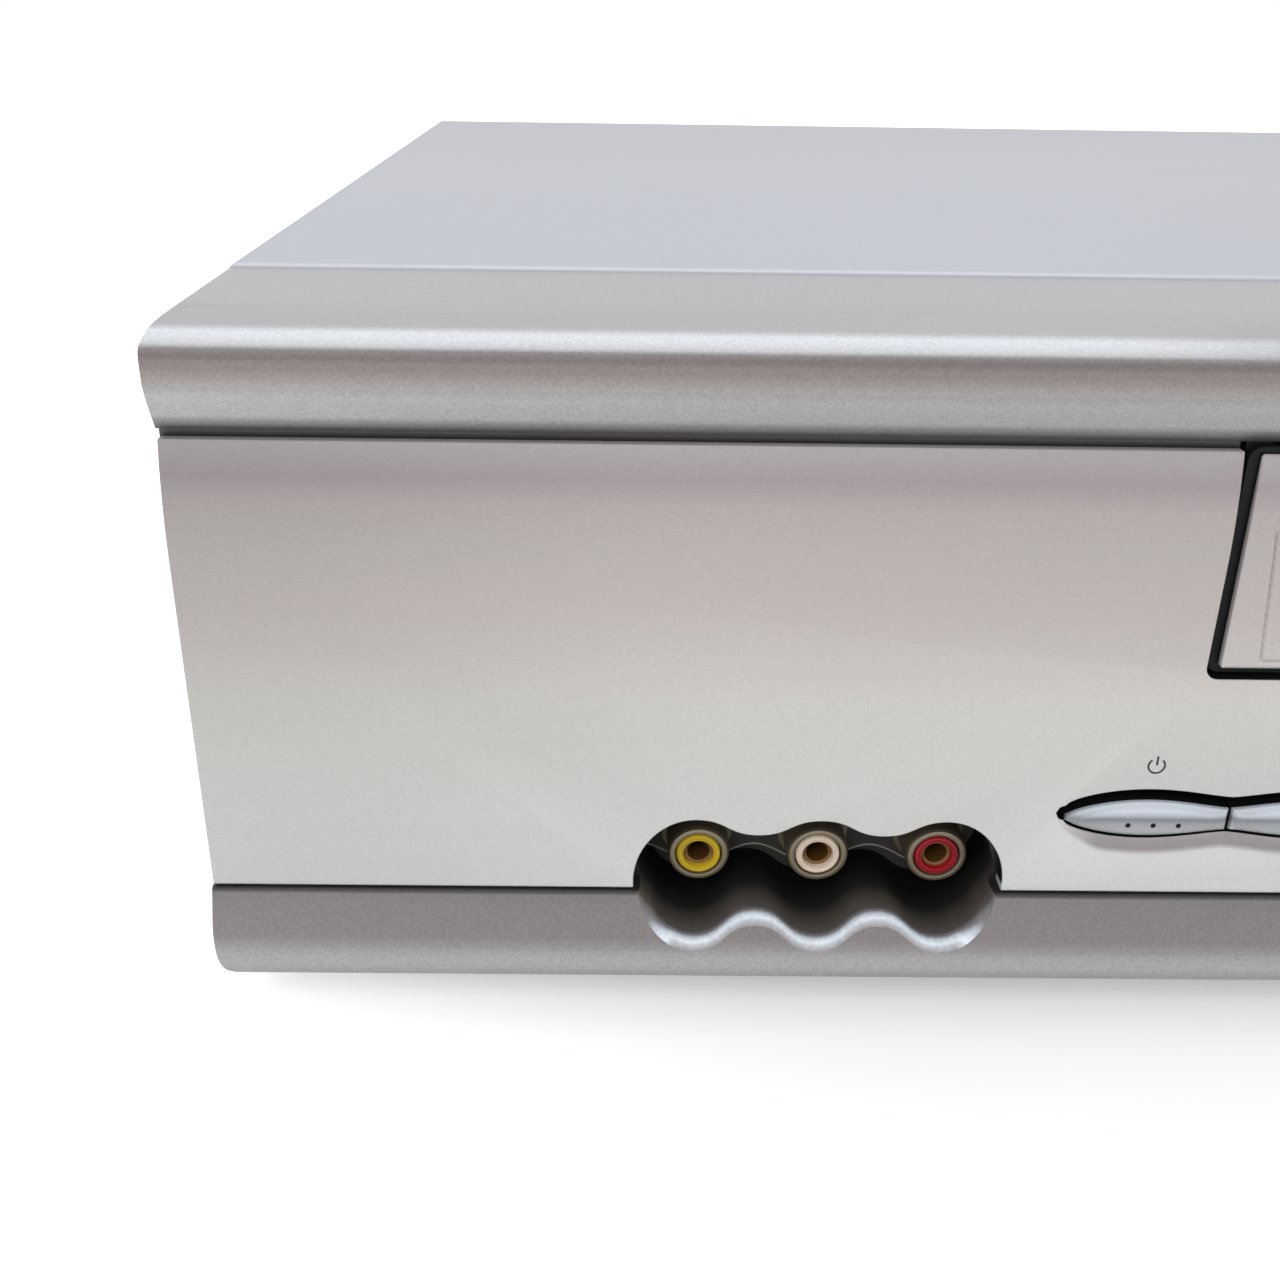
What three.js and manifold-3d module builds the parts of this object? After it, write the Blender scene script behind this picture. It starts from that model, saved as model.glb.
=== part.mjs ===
// A compact video cassette recorder, standing on four feet.
// Lengths are in millimetres. X runs left to right along the front, Y from front to rear, Z up.
// The origin lies under the middle of the recorder, on the surface it stands on.
import * as THREE from "three";
import { mergeVertices } from "three/addons/utils/BufferGeometryUtils.js";
import Module from "manifold-3d";

const wasm = await Module();
wasm.setup();

// Driving dimensions
const width = 360;
const bodyHeight = 84;
const footHeight = 8;
const lipProud = 3.6;
const railDepth = 36.8;
const coverLength = 223.2;
const terminalProud = 6.4;

// Clearances and steps that several pieces share
const seatGap = 0.3;
const slipGap = 0.5;
const overrun = 1;
const roundSteps = 16;
const smallSteps = 6;

// Places worked out from the driving dimensions
const depth = lipProud + railDepth + coverLength + terminalProud;
const frontY = -depth / 2;
const panelY = frontY + lipProud;
const seamY = panelY + railDepth;
const rearY = seamY + coverLength;
const leftX = -width / 2;
const baseZ = footHeight;
const topZ = footHeight + bodyHeight;

// A place on the front, counted from its left edge and from the bottom of its lip
const across = (distance) => leftX + distance;
const above = (distance) => baseZ + distance;

// Finishes
const finish = (color, roughness, metalness) =>
  new THREE.MeshStandardMaterial({ color, roughness, metalness });
const coverPaint = finish(0xc4c5ca, 0.45, 0.5);
const framePaint = finish(0x8f8b89, 0.5, 0.5);
const panelPaint = finish(0xcac8c6, 0.5, 0.3);
const keySilver = finish(0xb4b6ba, 0.25, 0.8);
const blackPlastic = finish(0x17171a, 0.45, 0);
const greyPlastic = finish(0x3a3837, 0.6, 0);
const smokedWindow = finish(0x14161c, 0.15, 0);
const yellowPlastic = finish(0xc9ad20, 0.45, 0);
const creamPlastic = finish(0xe6d2bd, 0.45, 0);
const redPlastic = finish(0xa01520, 0.45, 0);
const nickel = finish(0x9a937f, 0.35, 0.9);
const zincSteel = finish(0xb9bbb8, 0.4, 0.9);
const machinedMetal = finish(0xc9cbcf, 0.25, 0.95);
const boardGreen = finish(0x2f5a3a, 0.6, 0);
const boardTan = finish(0x9a7a45, 0.7, 0);
const whiteNylon = finish(0xe9e7df, 0.5, 0);
const rubber = finish(0x1c1c1c, 0.9, 0);
const ferrite = finish(0x4a3f3a, 0.7, 0);

const recorder = new THREE.Group();

// A closed mesh as a solid that can be joined and cut
function solid(geometry) {
  const bare = geometry.clone();
  bare.deleteAttribute("normal");
  bare.deleteAttribute("uv");
  const merged = mergeVertices(bare, 1e-4);
  const triVerts = merged.index.array;
  const vertProperties = merged.attributes.position.array;
  return new wasm.Manifold(new wasm.Mesh({ numProp: 3, vertProperties, triVerts }));
}

// A solid as a geometry again
function surface(body) {
  const mesh = body.getMesh();
  return new THREE.BufferGeometry()
    .setAttribute("position", new THREE.BufferAttribute(mesh.vertProperties, 3))
    .setIndex(new THREE.BufferAttribute(mesh.triVerts, 1));
}

// One named piece of the recorder
function piece(name, body, material) {
  const geometry = surface(body);
  geometry.computeVertexNormals();
  const mesh = new THREE.Mesh(geometry, material);
  mesh.name = name;
  recorder.add(mesh);
}

const joined = (bodies) => bodies.reduce((whole, next) => whole.add(next));
const cut = (body, tools) => tools.reduce((rest, tool) => rest.subtract(tool), body);

// A block between two corners
function block(x0, x1, y0, y1, z0, z1) {
  const box = new THREE.BoxGeometry(x1 - x0, y1 - y0, z1 - z0);
  return solid(box.translate((x0 + x1) / 2, (y0 + y1) / 2, (z0 + z1) / 2));
}

// A closed outline through points, each [first, second]
function outline(points) {
  return new THREE.Shape(points.map(([a, b]) => new THREE.Vector2(a, b)));
}

// A rectangle with round corners, given by its sides
function roundedBox(a0, a1, b0, b1, radius) {
  const shape = new THREE.Shape();
  shape.moveTo(a0 + radius, b0);
  shape.lineTo(a1 - radius, b0);
  shape.absarc(a1 - radius, b0 + radius, radius, -Math.PI / 2, 0);
  shape.lineTo(a1, b1 - radius);
  shape.absarc(a1 - radius, b1 - radius, radius, 0, Math.PI / 2);
  shape.lineTo(a0 + radius, b1);
  shape.absarc(a0 + radius, b1 - radius, radius, Math.PI / 2, Math.PI);
  shape.lineTo(a0, b0 + radius);
  shape.absarc(a0 + radius, b0 + radius, radius, Math.PI, 1.5 * Math.PI);
  return shape;
}

const raised = (shape, length, steps) =>
  new THREE.ExtrudeGeometry(shape, { depth: length, bevelEnabled: false, curveSegments: steps });

// An outline of X and Z carried from y0 to y1
function alongY(shape, y0, y1, steps = smallSteps) {
  return solid(raised(shape, y1 - y0, steps).rotateX(Math.PI / 2).translate(0, y1, 0));
}

// An outline of Y and Z carried from x0 to x1
function alongX(shape, x0, x1, steps = smallSteps) {
  const turn = new THREE.Matrix4().makeBasis(
    new THREE.Vector3(0, 1, 0),
    new THREE.Vector3(0, 0, 1),
    new THREE.Vector3(1, 0, 0),
  );
  return solid(raised(shape, x1 - x0, steps).applyMatrix4(turn).translate(x0, 0, 0));
}

// An outline of X and Y carried from z0 to z1
function alongZ(shape, z0, z1, steps = smallSteps) {
  return solid(raised(shape, z1 - z0, steps).translate(0, 0, z0));
}

// A round bar along one axis, from one place on it to another
function bar(axis, [a, b], radius, from, to, steps = smallSteps) {
  const rod = new THREE.CylinderGeometry(radius, radius, Math.abs(to - from), steps);
  const middle = (from + to) / 2;
  if (axis === "x") return solid(rod.rotateZ(Math.PI / 2).translate(middle, a, b));
  if (axis === "y") return solid(rod.translate(a, middle, b));
  return solid(rod.rotateX(Math.PI / 2).translate(a, b, middle));
}

// A profile of radius and height turned about an upright axis at x, y
function turned(profile, x, y, steps = roundSteps) {
  const points = profile.map(([radius, height]) => new THREE.Vector2(radius, height));
  return solid(new THREE.LatheGeometry(points, steps).rotateX(Math.PI / 2).translate(x, y, 0));
}

// Front frame: the dark moulding with the rail above, the web behind the panel and the lip below
const rail = {
  crownDrop: 0.4, corner: 1, flat: 20, bend: 9, edgeRun: 4, edgeDrop: 1.2,
  slopeRun: 0.9, slopeDrop: 2.1, noseDrop: 2.4, noseProud: 0.3, noseHeight: 80,
};
const cove = { top: 77.6, middle: 75.2, bottom: 71.9, bottomDepth: 2.3 };
const lip = { top: 11.5, edge: 1.6, corner: 4.5, thickness: 2.2, bulgeShare: 0.62 };
const web = { front: 3.3, thickness: 2.2 };
const wall = 2.2;
const tongue = { drop: 1.6, length: 6, thickness: 1.4 };

function frameOutline() {
  const shape = new THREE.Shape();
  shape.moveTo(seamY, topZ - rail.crownDrop);
  shape.lineTo(panelY + rail.flat, topZ - rail.crownDrop);
  shape.quadraticCurveTo(
    panelY + rail.bend, topZ - rail.crownDrop,
    panelY + rail.edgeRun, topZ - rail.edgeDrop,
  );
  shape.lineTo(panelY + rail.slopeRun, topZ - rail.slopeDrop);
  shape.quadraticCurveTo(
    panelY - rail.noseProud, topZ - rail.noseDrop,
    panelY - rail.noseProud, above(rail.noseHeight),
  );
  shape.lineTo(panelY - rail.noseProud, above(cove.top));
  shape.quadraticCurveTo(
    panelY + rail.noseProud, above(cove.middle),
    panelY + cove.bottomDepth, above(cove.bottom),
  );
  shape.lineTo(panelY + web.front, above(cove.bottom));
  shape.lineTo(panelY + web.front, above(lip.top));
  shape.lineTo(panelY, above(lip.top));
  shape.quadraticCurveTo(
    panelY - lipProud * lip.bulgeShare, above(lip.top / 2),
    frontY, above(lip.edge),
  );
  shape.quadraticCurveTo(frontY, baseZ, frontY + lip.edge, baseZ);
  shape.lineTo(seamY, baseZ);
  shape.closePath();
  return shape;
}

function frameHollow() {
  return outline([
    [seamY + overrun, topZ - rail.noseDrop - wall],
    [panelY + web.front + web.thickness, topZ - rail.noseDrop - wall],
    [panelY + web.front + web.thickness, baseZ + lip.thickness],
    [seamY + overrun, baseZ + lip.thickness],
  ]);
}

// Cassette door opening, in the frame and in the panel
const door = { width: 203.8, margin: 33.1, bottom: 42.8, corner: 1.6, gap: 0.4, border: 1.3, lowBorder: 1 };
const doorRight = -leftX - door.margin;
const doorLeft = doorRight - door.width;
const mid = (doorLeft + doorRight) / 2;
const doorTop = above(cove.bottom);

// Door hinge: two pins above the flap, held in lugs behind the rail, so that it swings up clear of the tape
const hinge = { pin: 1.2, offset: 2.7, rise: 4.2, lug: 3, lugLength: 3.5, pinLength: 4.5 };
const hingeY = panelY + web.front + web.thickness + hinge.offset;
const hingeZ = doorTop + hinge.rise;

// Front sockets in a three-lobed pocket, push keys and display window
const sockets = { pitch: 16, shift: 0.9, height: 12.4, faceDepth: 7 };
const pocket = { lobe: 8.9, lift: 12.8, valleyTop: 19.5, valleyBottom: 7.2, depth: 14.5, wall: 1.4 };
const key = {
  pitch: 20.8, height: 5.1, waist: 3, middle: 23.2, gap: 0.9, lift: 0.55, proud: 0.9, dome: 1.2,
  travel: 1, slit: 0.2, tip: 0.4, steps: 9, tipPower: 0.8, waistPower: 1.3,
  shoulderShare: 0.8, crownShare: 0.35, crownNarrowing: 0.25,
};
const display = { width: 50, bottom: 15, height: 16.5, corner: 2.5, gap: 0.3, recess: 0.3, flange: 2 };
const controlKeys = ["power_button", "eject_button"];
const transportKeys = ["rewind_button", "play_button", "fast_forward_button", "stop_button", "record_button"];

// Along the front, the room that these leave is shared out among the gaps between them
const gapShares = { pocket: 0.4904, display: 0.2525, transport: 0.0735 };
const keysToPocket = 5.7;
const pocketWidth = 2 * (sockets.pitch + pocket.lobe);
const keyLengths = (controlKeys.length + transportKeys.length) * key.pitch;
const spare = width - pocketWidth - keysToPocket - keyLengths - display.width;
const pocketEnd = spare * gapShares.pocket + pocketWidth;
const controlStart = pocketEnd + keysToPocket;
const displayStart = controlStart + controlKeys.length * key.pitch + spare * gapShares.display;
const transportStart = displayStart + display.width + spare * gapShares.transport;
const keyRows = [
  { start: controlStart, names: controlKeys },
  { start: transportStart, names: transportKeys },
];
const pocketX = across(pocketEnd - pocketWidth / 2);
const pocketZ = above(pocket.lift);

// The outline of three round lobes whose valleys are drawn out smoothly, grown by a margin
function lobes(margin) {
  const shape = new THREE.Shape();
  const radius = pocket.lobe + margin;
  const valleyUp = above(pocket.valleyTop) - pocketZ + margin;
  const valleyDown = pocketZ - above(pocket.valleyBottom) + margin;
  const half = sockets.pitch / 2;
  const reach = sockets.pitch / 4;
  shape.moveTo(pocketX - sockets.pitch, pocketZ + radius);
  shape.absarc(pocketX - sockets.pitch, pocketZ, radius, Math.PI / 2, 1.5 * Math.PI);
  for (const start of [-sockets.pitch, 0]) {
    shape.bezierCurveTo(
      pocketX + start + reach, pocketZ - radius,
      pocketX + start + half - reach, pocketZ - valleyDown,
      pocketX + start + half, pocketZ - valleyDown,
    );
    shape.bezierCurveTo(
      pocketX + start + half + reach, pocketZ - valleyDown,
      pocketX + start + sockets.pitch - reach, pocketZ - radius,
      pocketX + start + sockets.pitch, pocketZ - radius,
    );
  }
  shape.absarc(pocketX + sockets.pitch, pocketZ, radius, -Math.PI / 2, Math.PI / 2);
  for (const start of [sockets.pitch, 0]) {
    shape.bezierCurveTo(
      pocketX + start - reach, pocketZ + radius,
      pocketX + start - half + reach, pocketZ + valleyUp,
      pocketX + start - half, pocketZ + valleyUp,
    );
    shape.bezierCurveTo(
      pocketX + start - half - reach, pocketZ + valleyUp,
      pocketX + start - sockets.pitch + reach, pocketZ + radius,
      pocketX + start - sockets.pitch, pocketZ + radius,
    );
  }
  return shape;
}

// Half the height of a key row at a place along it: a point at each end, a waist at each join
function keyHalfHeight(along, count) {
  const turns = along / key.pitch;
  const swell = Math.sin(Math.PI * (turns - Math.floor(turns)));
  const atEnd = turns < 0.5 || turns > count - 0.5;
  const least = atEnd ? 0 : key.waist / 2;
  return least + (key.height / 2 - least) * Math.pow(swell, atEnd ? key.tipPower : key.waistPower);
}

// The outline of a key row between two places along it, grown by a margin
function keyOutline(row, from, to, margin, steps) {
  const upper = [];
  const lower = [];
  const count = row.names.length;
  for (let i = 0; i <= steps; i++) {
    const along = from + ((to - from) * i) / steps;
    const within = Math.min(Math.max(along, 0), count * key.pitch);
    const half = keyHalfHeight(within, count) + margin;
    upper.push([across(row.start) + along, above(key.middle) + half]);
    lower.push([across(row.start) + along, above(key.middle) - half]);
  }
  return outline([...lower, ...upper.reverse()]);
}

// The outline of the display window, grown by a margin
function displayOutline(margin) {
  return roundedBox(
    across(displayStart) - margin, across(displayStart) + display.width + margin,
    above(display.bottom) - margin, above(display.bottom) + display.height + margin,
    display.corner + margin,
  );
}

// The holes that the panel and the frame's web share, as tools from y0 to y1
function frontHoles(margin, y0, y1) {
  const keys = keyRows.map((row) => {
    const length = row.names.length * key.pitch;
    const reach = key.gap + margin;
    const hole = keyOutline(row, -reach, length + reach, reach, row.names.length * smallSteps);
    return alongY(hole, y0, y1).translate(0, 0, key.lift);
  });
  const doorHole = roundedBox(
    doorLeft - margin, doorRight + margin,
    above(door.bottom) - margin, topZ - rail.noseDrop - wall,
    door.corner,
  );
  return [...keys, alongY(displayOutline(display.gap + margin), y0, y1), alongY(doorHole, y0, y1)];
}

// Hooks that reach back from the frame over the floor of the chassis
const hook = { width: 14, reach: 8, thickness: 2, placeShare: 0.62 };
const floorRise = 3;
const floorTop = baseZ + floorRise;

function frontFrame() {
  const crown = topZ - rail.crownDrop;
  const upper = roundedBox(leftX, -leftX, baseZ - lip.corner, crown, rail.corner);
  const lower = roundedBox(leftX, -leftX, baseZ, crown + lip.corner, lip.corner);
  const hull = alongX(frameOutline(), leftX, -leftX)
    .intersect(alongY(upper, frontY - overrun, seamY + overrun))
    .intersect(alongY(lower, frontY - overrun, seamY + overrun));
  const shell = cut(hull, [alongX(frameHollow(), leftX + wall, -leftX - wall)]);
  const pocketBack = panelY + pocket.depth;
  const pocketWall = alongY(lobes(pocket.wall), panelY + web.front, pocketBack);
  const trimmedWall = pocketWall.intersect(
    block(leftX, -leftX, frontY, seamY, baseZ, above(pocket.lift + pocket.lobe * 2)),
  );
  const tongueZ = topZ - rail.crownDrop - tongue.drop;
  const overlap = block(
    leftX + wall * 2, -leftX - wall * 2,
    seamY - wall * 2, seamY + tongue.length,
    tongueZ - tongue.thickness, tongueZ,
  );
  const hookPlaces = [leftX, -leftX].map((end) => end * hook.placeShare);
  const hooks = hookPlaces.map((x) =>
    block(
      x - hook.width / 2, x + hook.width / 2,
      seamY - hook.reach, seamY + hook.reach,
      floorTop + seatGap, floorTop + seatGap + hook.thickness,
    ),
  );
  const bridges = hookPlaces.map((x) =>
    block(
      x - hook.width / 2, x + hook.width / 2,
      seamY - hook.reach, seamY - seatGap,
      baseZ + lip.thickness / 2, floorTop + seatGap + hook.thickness / 2,
    ),
  );
  const lugs = [doorLeft - hinge.lugLength, doorRight].map((x) =>
    bar("x", [hingeY, hingeZ], hinge.lug, x, x + hinge.lugLength).add(
      block(
        x, x + hinge.lugLength,
        panelY + web.front + web.thickness / 2, hingeY, hingeZ - hinge.lug, hingeZ + hinge.lug,
      ),
    ),
  );
  const pinHole = bar(
    "x", [hingeY, hingeZ], hinge.pin + seatGap,
    doorLeft - hinge.lugLength - overrun, doorRight + hinge.lugLength + overrun,
  );
  const whole = joined([shell, trimmedWall, overlap, ...hooks, ...bridges, ...lugs]);
  const lipRim = alongY(lobes(0), frontY - overrun, pocketBack + overrun);
  const webBack = panelY + web.front + web.thickness;
  return cut(whole, [lipRim, pinHole, ...frontHoles(0, panelY + web.front - overrun, webBack + overrun)]);
}
piece("front_frame", frontFrame(), framePaint);

// Front panel: the pale face plate that lies in the frame, bowed back along its top edge
const panel = { bottom: 11.8, top: 71.2, bowStart: 57, bow: 1.6, back: 3, pocketGap: 0.5 };
function frontPanel() {
  const shape = new THREE.Shape();
  shape.moveTo(panelY + panel.back, above(panel.bottom));
  shape.lineTo(panelY, above(panel.bottom));
  shape.lineTo(panelY, above(panel.bowStart));
  shape.quadraticCurveTo(
    panelY, above((panel.bowStart + panel.top) / 2),
    panelY + panel.bow, above(panel.top),
  );
  shape.lineTo(panelY + panel.back, above(panel.top));
  shape.closePath();
  const plate = alongX(shape, leftX, -leftX);
  const y0 = panelY - overrun;
  const y1 = panelY + panel.back + overrun;
  const pocketHole = alongY(lobes(panel.pocketGap), y0, y1);
  return cut(plate, [pocketHole, ...frontHoles(0, y0, y1)]);
}
piece("front_panel", frontPanel(), panelPaint);

// Keys: silver caps with a domed face, a square stem behind each
const stem = { half: 1.5, length: 8.3 };
const keyFrame = { front: 5.8, thickness: 1.6, rim: 3 };
function keyCap(row, index) {
  const from = index * key.pitch + (index ? key.slit : 0);
  const to = (index + 1) * key.pitch - (index + 1 < row.names.length ? key.slit : 0);
  const layers = [
    [keyFrame.front - key.travel - seatGap, 1],
    [-key.proud, 1],
    [-key.proud - key.dome / 2, key.shoulderShare],
    [-key.proud - key.dome, key.crownShare],
  ];
  const positions = [];
  for (const [y, share] of layers) {
    for (const side of [-1, 1]) {
      for (let i = 0; i <= key.steps; i++) {
        const t = side < 0 ? i / key.steps : 1 - i / key.steps;
        const along = from + (to - from) * t;
        const middle = (from + to) / 2;
        const half = Math.max(keyHalfHeight(along, row.names.length), key.tip);
        positions.push(
          across(row.start) + middle + (along - middle) * (1 - (1 - share) * key.crownNarrowing),
          panelY + y,
          above(key.middle) + side * half * share,
        );
      }
    }
  }
  const ring = 2 * (key.steps + 1);
  const index3 = [];
  for (let layer = 0; layer + 1 < layers.length; layer++) {
    for (let i = 0; i < ring; i++) {
      const a = layer * ring + i;
      const b = layer * ring + ((i + 1) % ring);
      index3.push(a, b, a + ring, b, b + ring, a + ring);
    }
  }
  for (const [start, turn] of [[0, 1], [(layers.length - 1) * ring, -1]]) {
    for (let i = 0; i < key.steps; i++) {
      const a = start + i;
      const b = start + i + 1;
      const c = start + ring - 1 - i;
      const d = start + ring - 2 - i;
      if (turn > 0) index3.push(a, c, b, b, c, d);
      else index3.push(a, b, c, b, d, c);
    }
  }
  const cap = new THREE.BufferGeometry()
    .setAttribute("position", new THREE.BufferAttribute(new Float32Array(positions), 3))
    .setIndex(index3);
  return solid(cap);
}

for (const row of keyRows) {
  row.names.forEach((name, index) => {
    const middle = across(row.start) + (index + 0.5) * key.pitch;
    const back = panelY + keyFrame.front - key.travel - seatGap;
    const bottom = above(key.middle);
    const post = block(
      middle - stem.half, middle + stem.half, back - seatGap, back + stem.length,
      bottom - stem.half, bottom + stem.half,
    );
    piece(name, keyCap(row, index).add(post), keySilver);
  });
}

// Key frame: the black strip behind the web that guides the stems
function keyGuide() {
  const first = keyRows[0];
  const last = keyRows[keyRows.length - 1];
  const end = last.start + last.names.length * key.pitch;
  const low = above(key.middle) - key.height / 2 - keyFrame.rim;
  const high = above(key.middle) + key.height / 2 + keyFrame.rim;
  const y0 = panelY + keyFrame.front;
  const y1 = y0 + keyFrame.thickness;
  const strip = block(across(first.start) - keyFrame.rim, across(end) + keyFrame.rim, y0, y1, low, high);
  const stemHoles = keyRows.flatMap((row) =>
    row.names.map((name, index) => {
      const middle = across(row.start) + (index + 0.5) * key.pitch;
      const half = stem.half + seatGap;
      return block(
        middle - half, middle + half, y0 - overrun, y1 + overrun,
        above(key.middle) - half, above(key.middle) + half,
      );
    }),
  );
  const reach = display.flange + display.gap + seatGap;
  const windowHole = alongY(displayOutline(reach), y0 - overrun, y1 + overrun);
  const feet = block(
    across(first.start) - keyFrame.rim, across(end) + keyFrame.rim,
    y0, y1, high - keyFrame.rim / 2, above(display.bottom) + display.height + reach + keyFrame.rim,
  );
  return cut(strip.add(feet), [...stemHoles, windowHole]);
}
piece("key_frame", keyGuide(), blackPlastic);

// Display window: a smoked lens with a flange behind the web
function displayWindow() {
  const back = panelY + web.front + web.thickness + seatGap;
  const lens = alongY(displayOutline(0), panelY + display.recess, back + display.flange);
  const flange = alongY(displayOutline(display.flange), back, back + display.flange);
  return lens.add(flange);
}
piece("display_window", displayWindow(), smokedWindow);

// Front circuit board: carries the key switches and the display tube
const frontBoard = { depth: 17, thickness: 1.6, bottom: 12, height: 26, side: 4, post: 3 };
const switchBody = { half: 3, depth: 3 };
const tube = { inset: 3, depth: 5 };
function frontCircuitBoard() {
  const y0 = panelY + frontBoard.depth;
  const top = above(frontBoard.bottom + frontBoard.height);
  const left = across(keyRows[0].start) - frontBoard.side;
  const right = across(keyRows[1].start + keyRows[1].names.length * key.pitch) + frontBoard.side;
  const board = block(
    left, right, y0, y0 + frontBoard.thickness,
    above(frontBoard.bottom), top,
  );
  const switches = keyRows.flatMap((row) =>
    row.names.map((name, index) => {
      const middle = across(row.start) + (index + 0.5) * key.pitch;
      return block(
        middle - switchBody.half, middle + switchBody.half, y0 - switchBody.depth, y0 + seatGap,
        above(key.middle) - switchBody.half, above(key.middle) + switchBody.half,
      );
    }),
  );
  const window = [displayStart + tube.inset, displayStart + display.width - tube.inset].map(across);
  const glass = block(
    window[0], window[1],
    y0 - tube.depth, y0 + seatGap,
    above(display.bottom + tube.inset / 2), above(display.bottom + display.height - tube.inset / 2),
  );
  const posts = [left + frontBoard.post, (left + right) / 2, right - frontBoard.post * 2].map((x) =>
    block(
      x, x + frontBoard.post,
      panelY + keyFrame.front + keyFrame.thickness + seatGap, y0 + seatGap,
      top - frontBoard.post, top,
    ),
  );
  return joined([board, ...switches, glass, ...posts]);
}
piece("front_circuit_board", frontCircuitBoard(), boardTan);

// Front sockets: a block closes the pocket, with a metal barrel and a coloured ring for each plug
const barrel = { radius: 4.15, wall: 0.7, collar: 5, collarDepth: 1.2 };
const ring = { radius: 3.15, bore: 1.65, boreDepth: 7 };
const socketBlock = { thickness: 10, rim: 0.6 };
const socketNames = ["video", "left_audio", "right_audio"];
const ringPlastic = [yellowPlastic, creamPlastic, redPlastic];
const socketPlace = (index) => [pocketX + sockets.shift + (index - 1) * sockets.pitch, above(sockets.height)];
function frontSocketBlock() {
  const y0 = panelY + pocket.depth + seatGap;
  const body = alongY(lobes(socketBlock.rim), y0, y0 + socketBlock.thickness);
  const holes = socketNames.map((name, index) =>
    bar(
      "y", socketPlace(index), barrel.radius + seatGap / 2,
      y0 - overrun, y0 + socketBlock.thickness / 2, roundSteps,
    ),
  );
  const trimmed = body.intersect(
    block(leftX, -leftX, y0 - overrun, y0 + socketBlock.thickness + overrun, floorTop, topZ),
  );
  return cut(trimmed, holes);
}
piece("front_socket_block", frontSocketBlock(), greyPlastic);
socketNames.forEach((name, index) => {
  const face = panelY + sockets.faceDepth;
  const back = panelY + pocket.depth + seatGap + socketBlock.thickness / 2 - seatGap;
  const plate = panelY + pocket.depth;
  const place = socketPlace(index);
  const sleeve = bar("y", place, barrel.radius, face, back, roundSteps)
    .add(bar("y", place, barrel.collar, plate - barrel.collarDepth, plate, roundSteps))
    .subtract(bar("y", place, barrel.radius - barrel.wall, face - overrun, back - barrel.wall, roundSteps));
  piece(name + "_socket_barrel", sleeve, nickel);
  const core = bar("y", place, ring.radius, face + seatGap, face + ring.boreDepth, roundSteps)
    .subtract(bar("y", place, ring.bore, face, face + ring.boreDepth - barrel.wall, roundSteps));
  piece(name + "_socket_ring", core, ringPlastic[index]);
});

// Cassette door: a black flap hung from its top edge, with a silver face plate in front
const flap = { front: 1.4, thickness: 2.4, plate: 1.1, arm: 3, armLow: 8, knuckle: 2.2 };
function flapOutline(inset, lowInset) {
  return roundedBox(
    doorLeft + door.gap + inset, doorRight - door.gap - inset,
    above(door.bottom) + door.gap + lowInset, doorTop - door.gap - inset,
    door.corner - inset,
  );
}
function cassetteDoor() {
  const y0 = panelY + flap.front;
  const leaf = alongY(flapOutline(0, 0), y0, y0 + flap.thickness);
  const arms = [
    [doorLeft + door.gap, doorLeft - hinge.lugLength - seatGap],
    [doorRight - door.gap, doorRight + 2 * hinge.pinLength],
  ].map(([edge, pinEnd], i) => {
    const inner = i ? edge - flap.arm : edge + flap.arm;
    const x0 = Math.min(edge, inner);
    const x1 = Math.max(edge, inner);
    const upright = block(
      x0, x1, y0 + flap.thickness / 2, hingeY + flap.knuckle / 2,
      doorTop - flap.armLow, hingeZ,
    );
    const knuckle = bar("x", [hingeY, hingeZ], flap.knuckle, x0, x1, roundSteps);
    const pin = bar("x", [hingeY, hingeZ], hinge.pin, inner, pinEnd, smallSteps * 2);
    return joined([upright, knuckle, pin]);
  });
  return joined([leaf, ...arms]);
}
piece("cassette_door", cassetteDoor(), blackPlastic);
const faceBack = panelY + flap.front - seatGap;
const faceOutline = flapOutline(door.border, door.lowBorder);
piece("door_face", alongY(faceOutline, faceBack - flap.plate, faceBack), panelPaint);

// Door spring: a wire coil round the hinge pin that holds the flap shut
const spring = { wire: 0.35, radius: 1.95, turns: 4, pitch: 1, steps: 8, sides: 3, gap: 0.3 };
class Coil extends THREE.Curve {
  getPoint(t, target = new THREE.Vector3()) {
    const angle = t * spring.turns * 2 * Math.PI;
    const along = doorRight + hinge.lugLength + spring.gap + spring.wire + t * spring.turns * spring.pitch;
    return target.set(
      along,
      hingeY + spring.radius * Math.cos(angle),
      hingeZ + spring.radius * Math.sin(angle),
    );
  }
}
function coilSpring() {
  const section = new THREE.Shape().absarc(0, 0, spring.wire, 0, 2 * Math.PI);
  const wire = new THREE.ExtrudeGeometry(section, {
    extrudePath: new Coil(),
    steps: spring.turns * spring.steps,
    curveSegments: spring.sides,
    bevelEnabled: false,
  });
  return solid(wire);
}
piece("door_spring", coilSpring(), zincSteel);

// Chassis: a steel tray under everything, with posts for the boards and the deck
const sheet = 0.9;
const tray = { side: 12, thickness: 1.6, sideGap: 0.5, rearInset: 2.6 };
const trayX = -leftX - sheet - tray.sideGap;
const trayRear = rearY - tray.rearInset;
const trayBottom = floorTop - tray.thickness;
const slot = { width: 3, length: 26, pitch: 9, count: 6, placeShare: 0.6 };
const boardPost = { radius: 2.5, height: 2.2 };
const boardZ = floorTop + boardPost.height + seatGap;
const tuner = {
  margin: 12, width: 62, height: 34, length: 40, bottom: 3, connector: 4.6, bore: 1.6, spread: 26, rise: 12,
};
const tunerLeft = -leftX - tuner.margin - tuner.width;
const deck = {
  half: 98, front: -88, bottom: 27, thickness: 1.6, tunerGap: 6,
  right: 61, left: 75, rearLeft: 45, rear: 112, rightNotch: 68, leftNotch: 89,
};
const deckRearRight = tunerLeft - deck.tunerGap;
const deckTop = deck.bottom + deck.thickness;
const deckPost = { radius: 3, inset: 7 };
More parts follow.
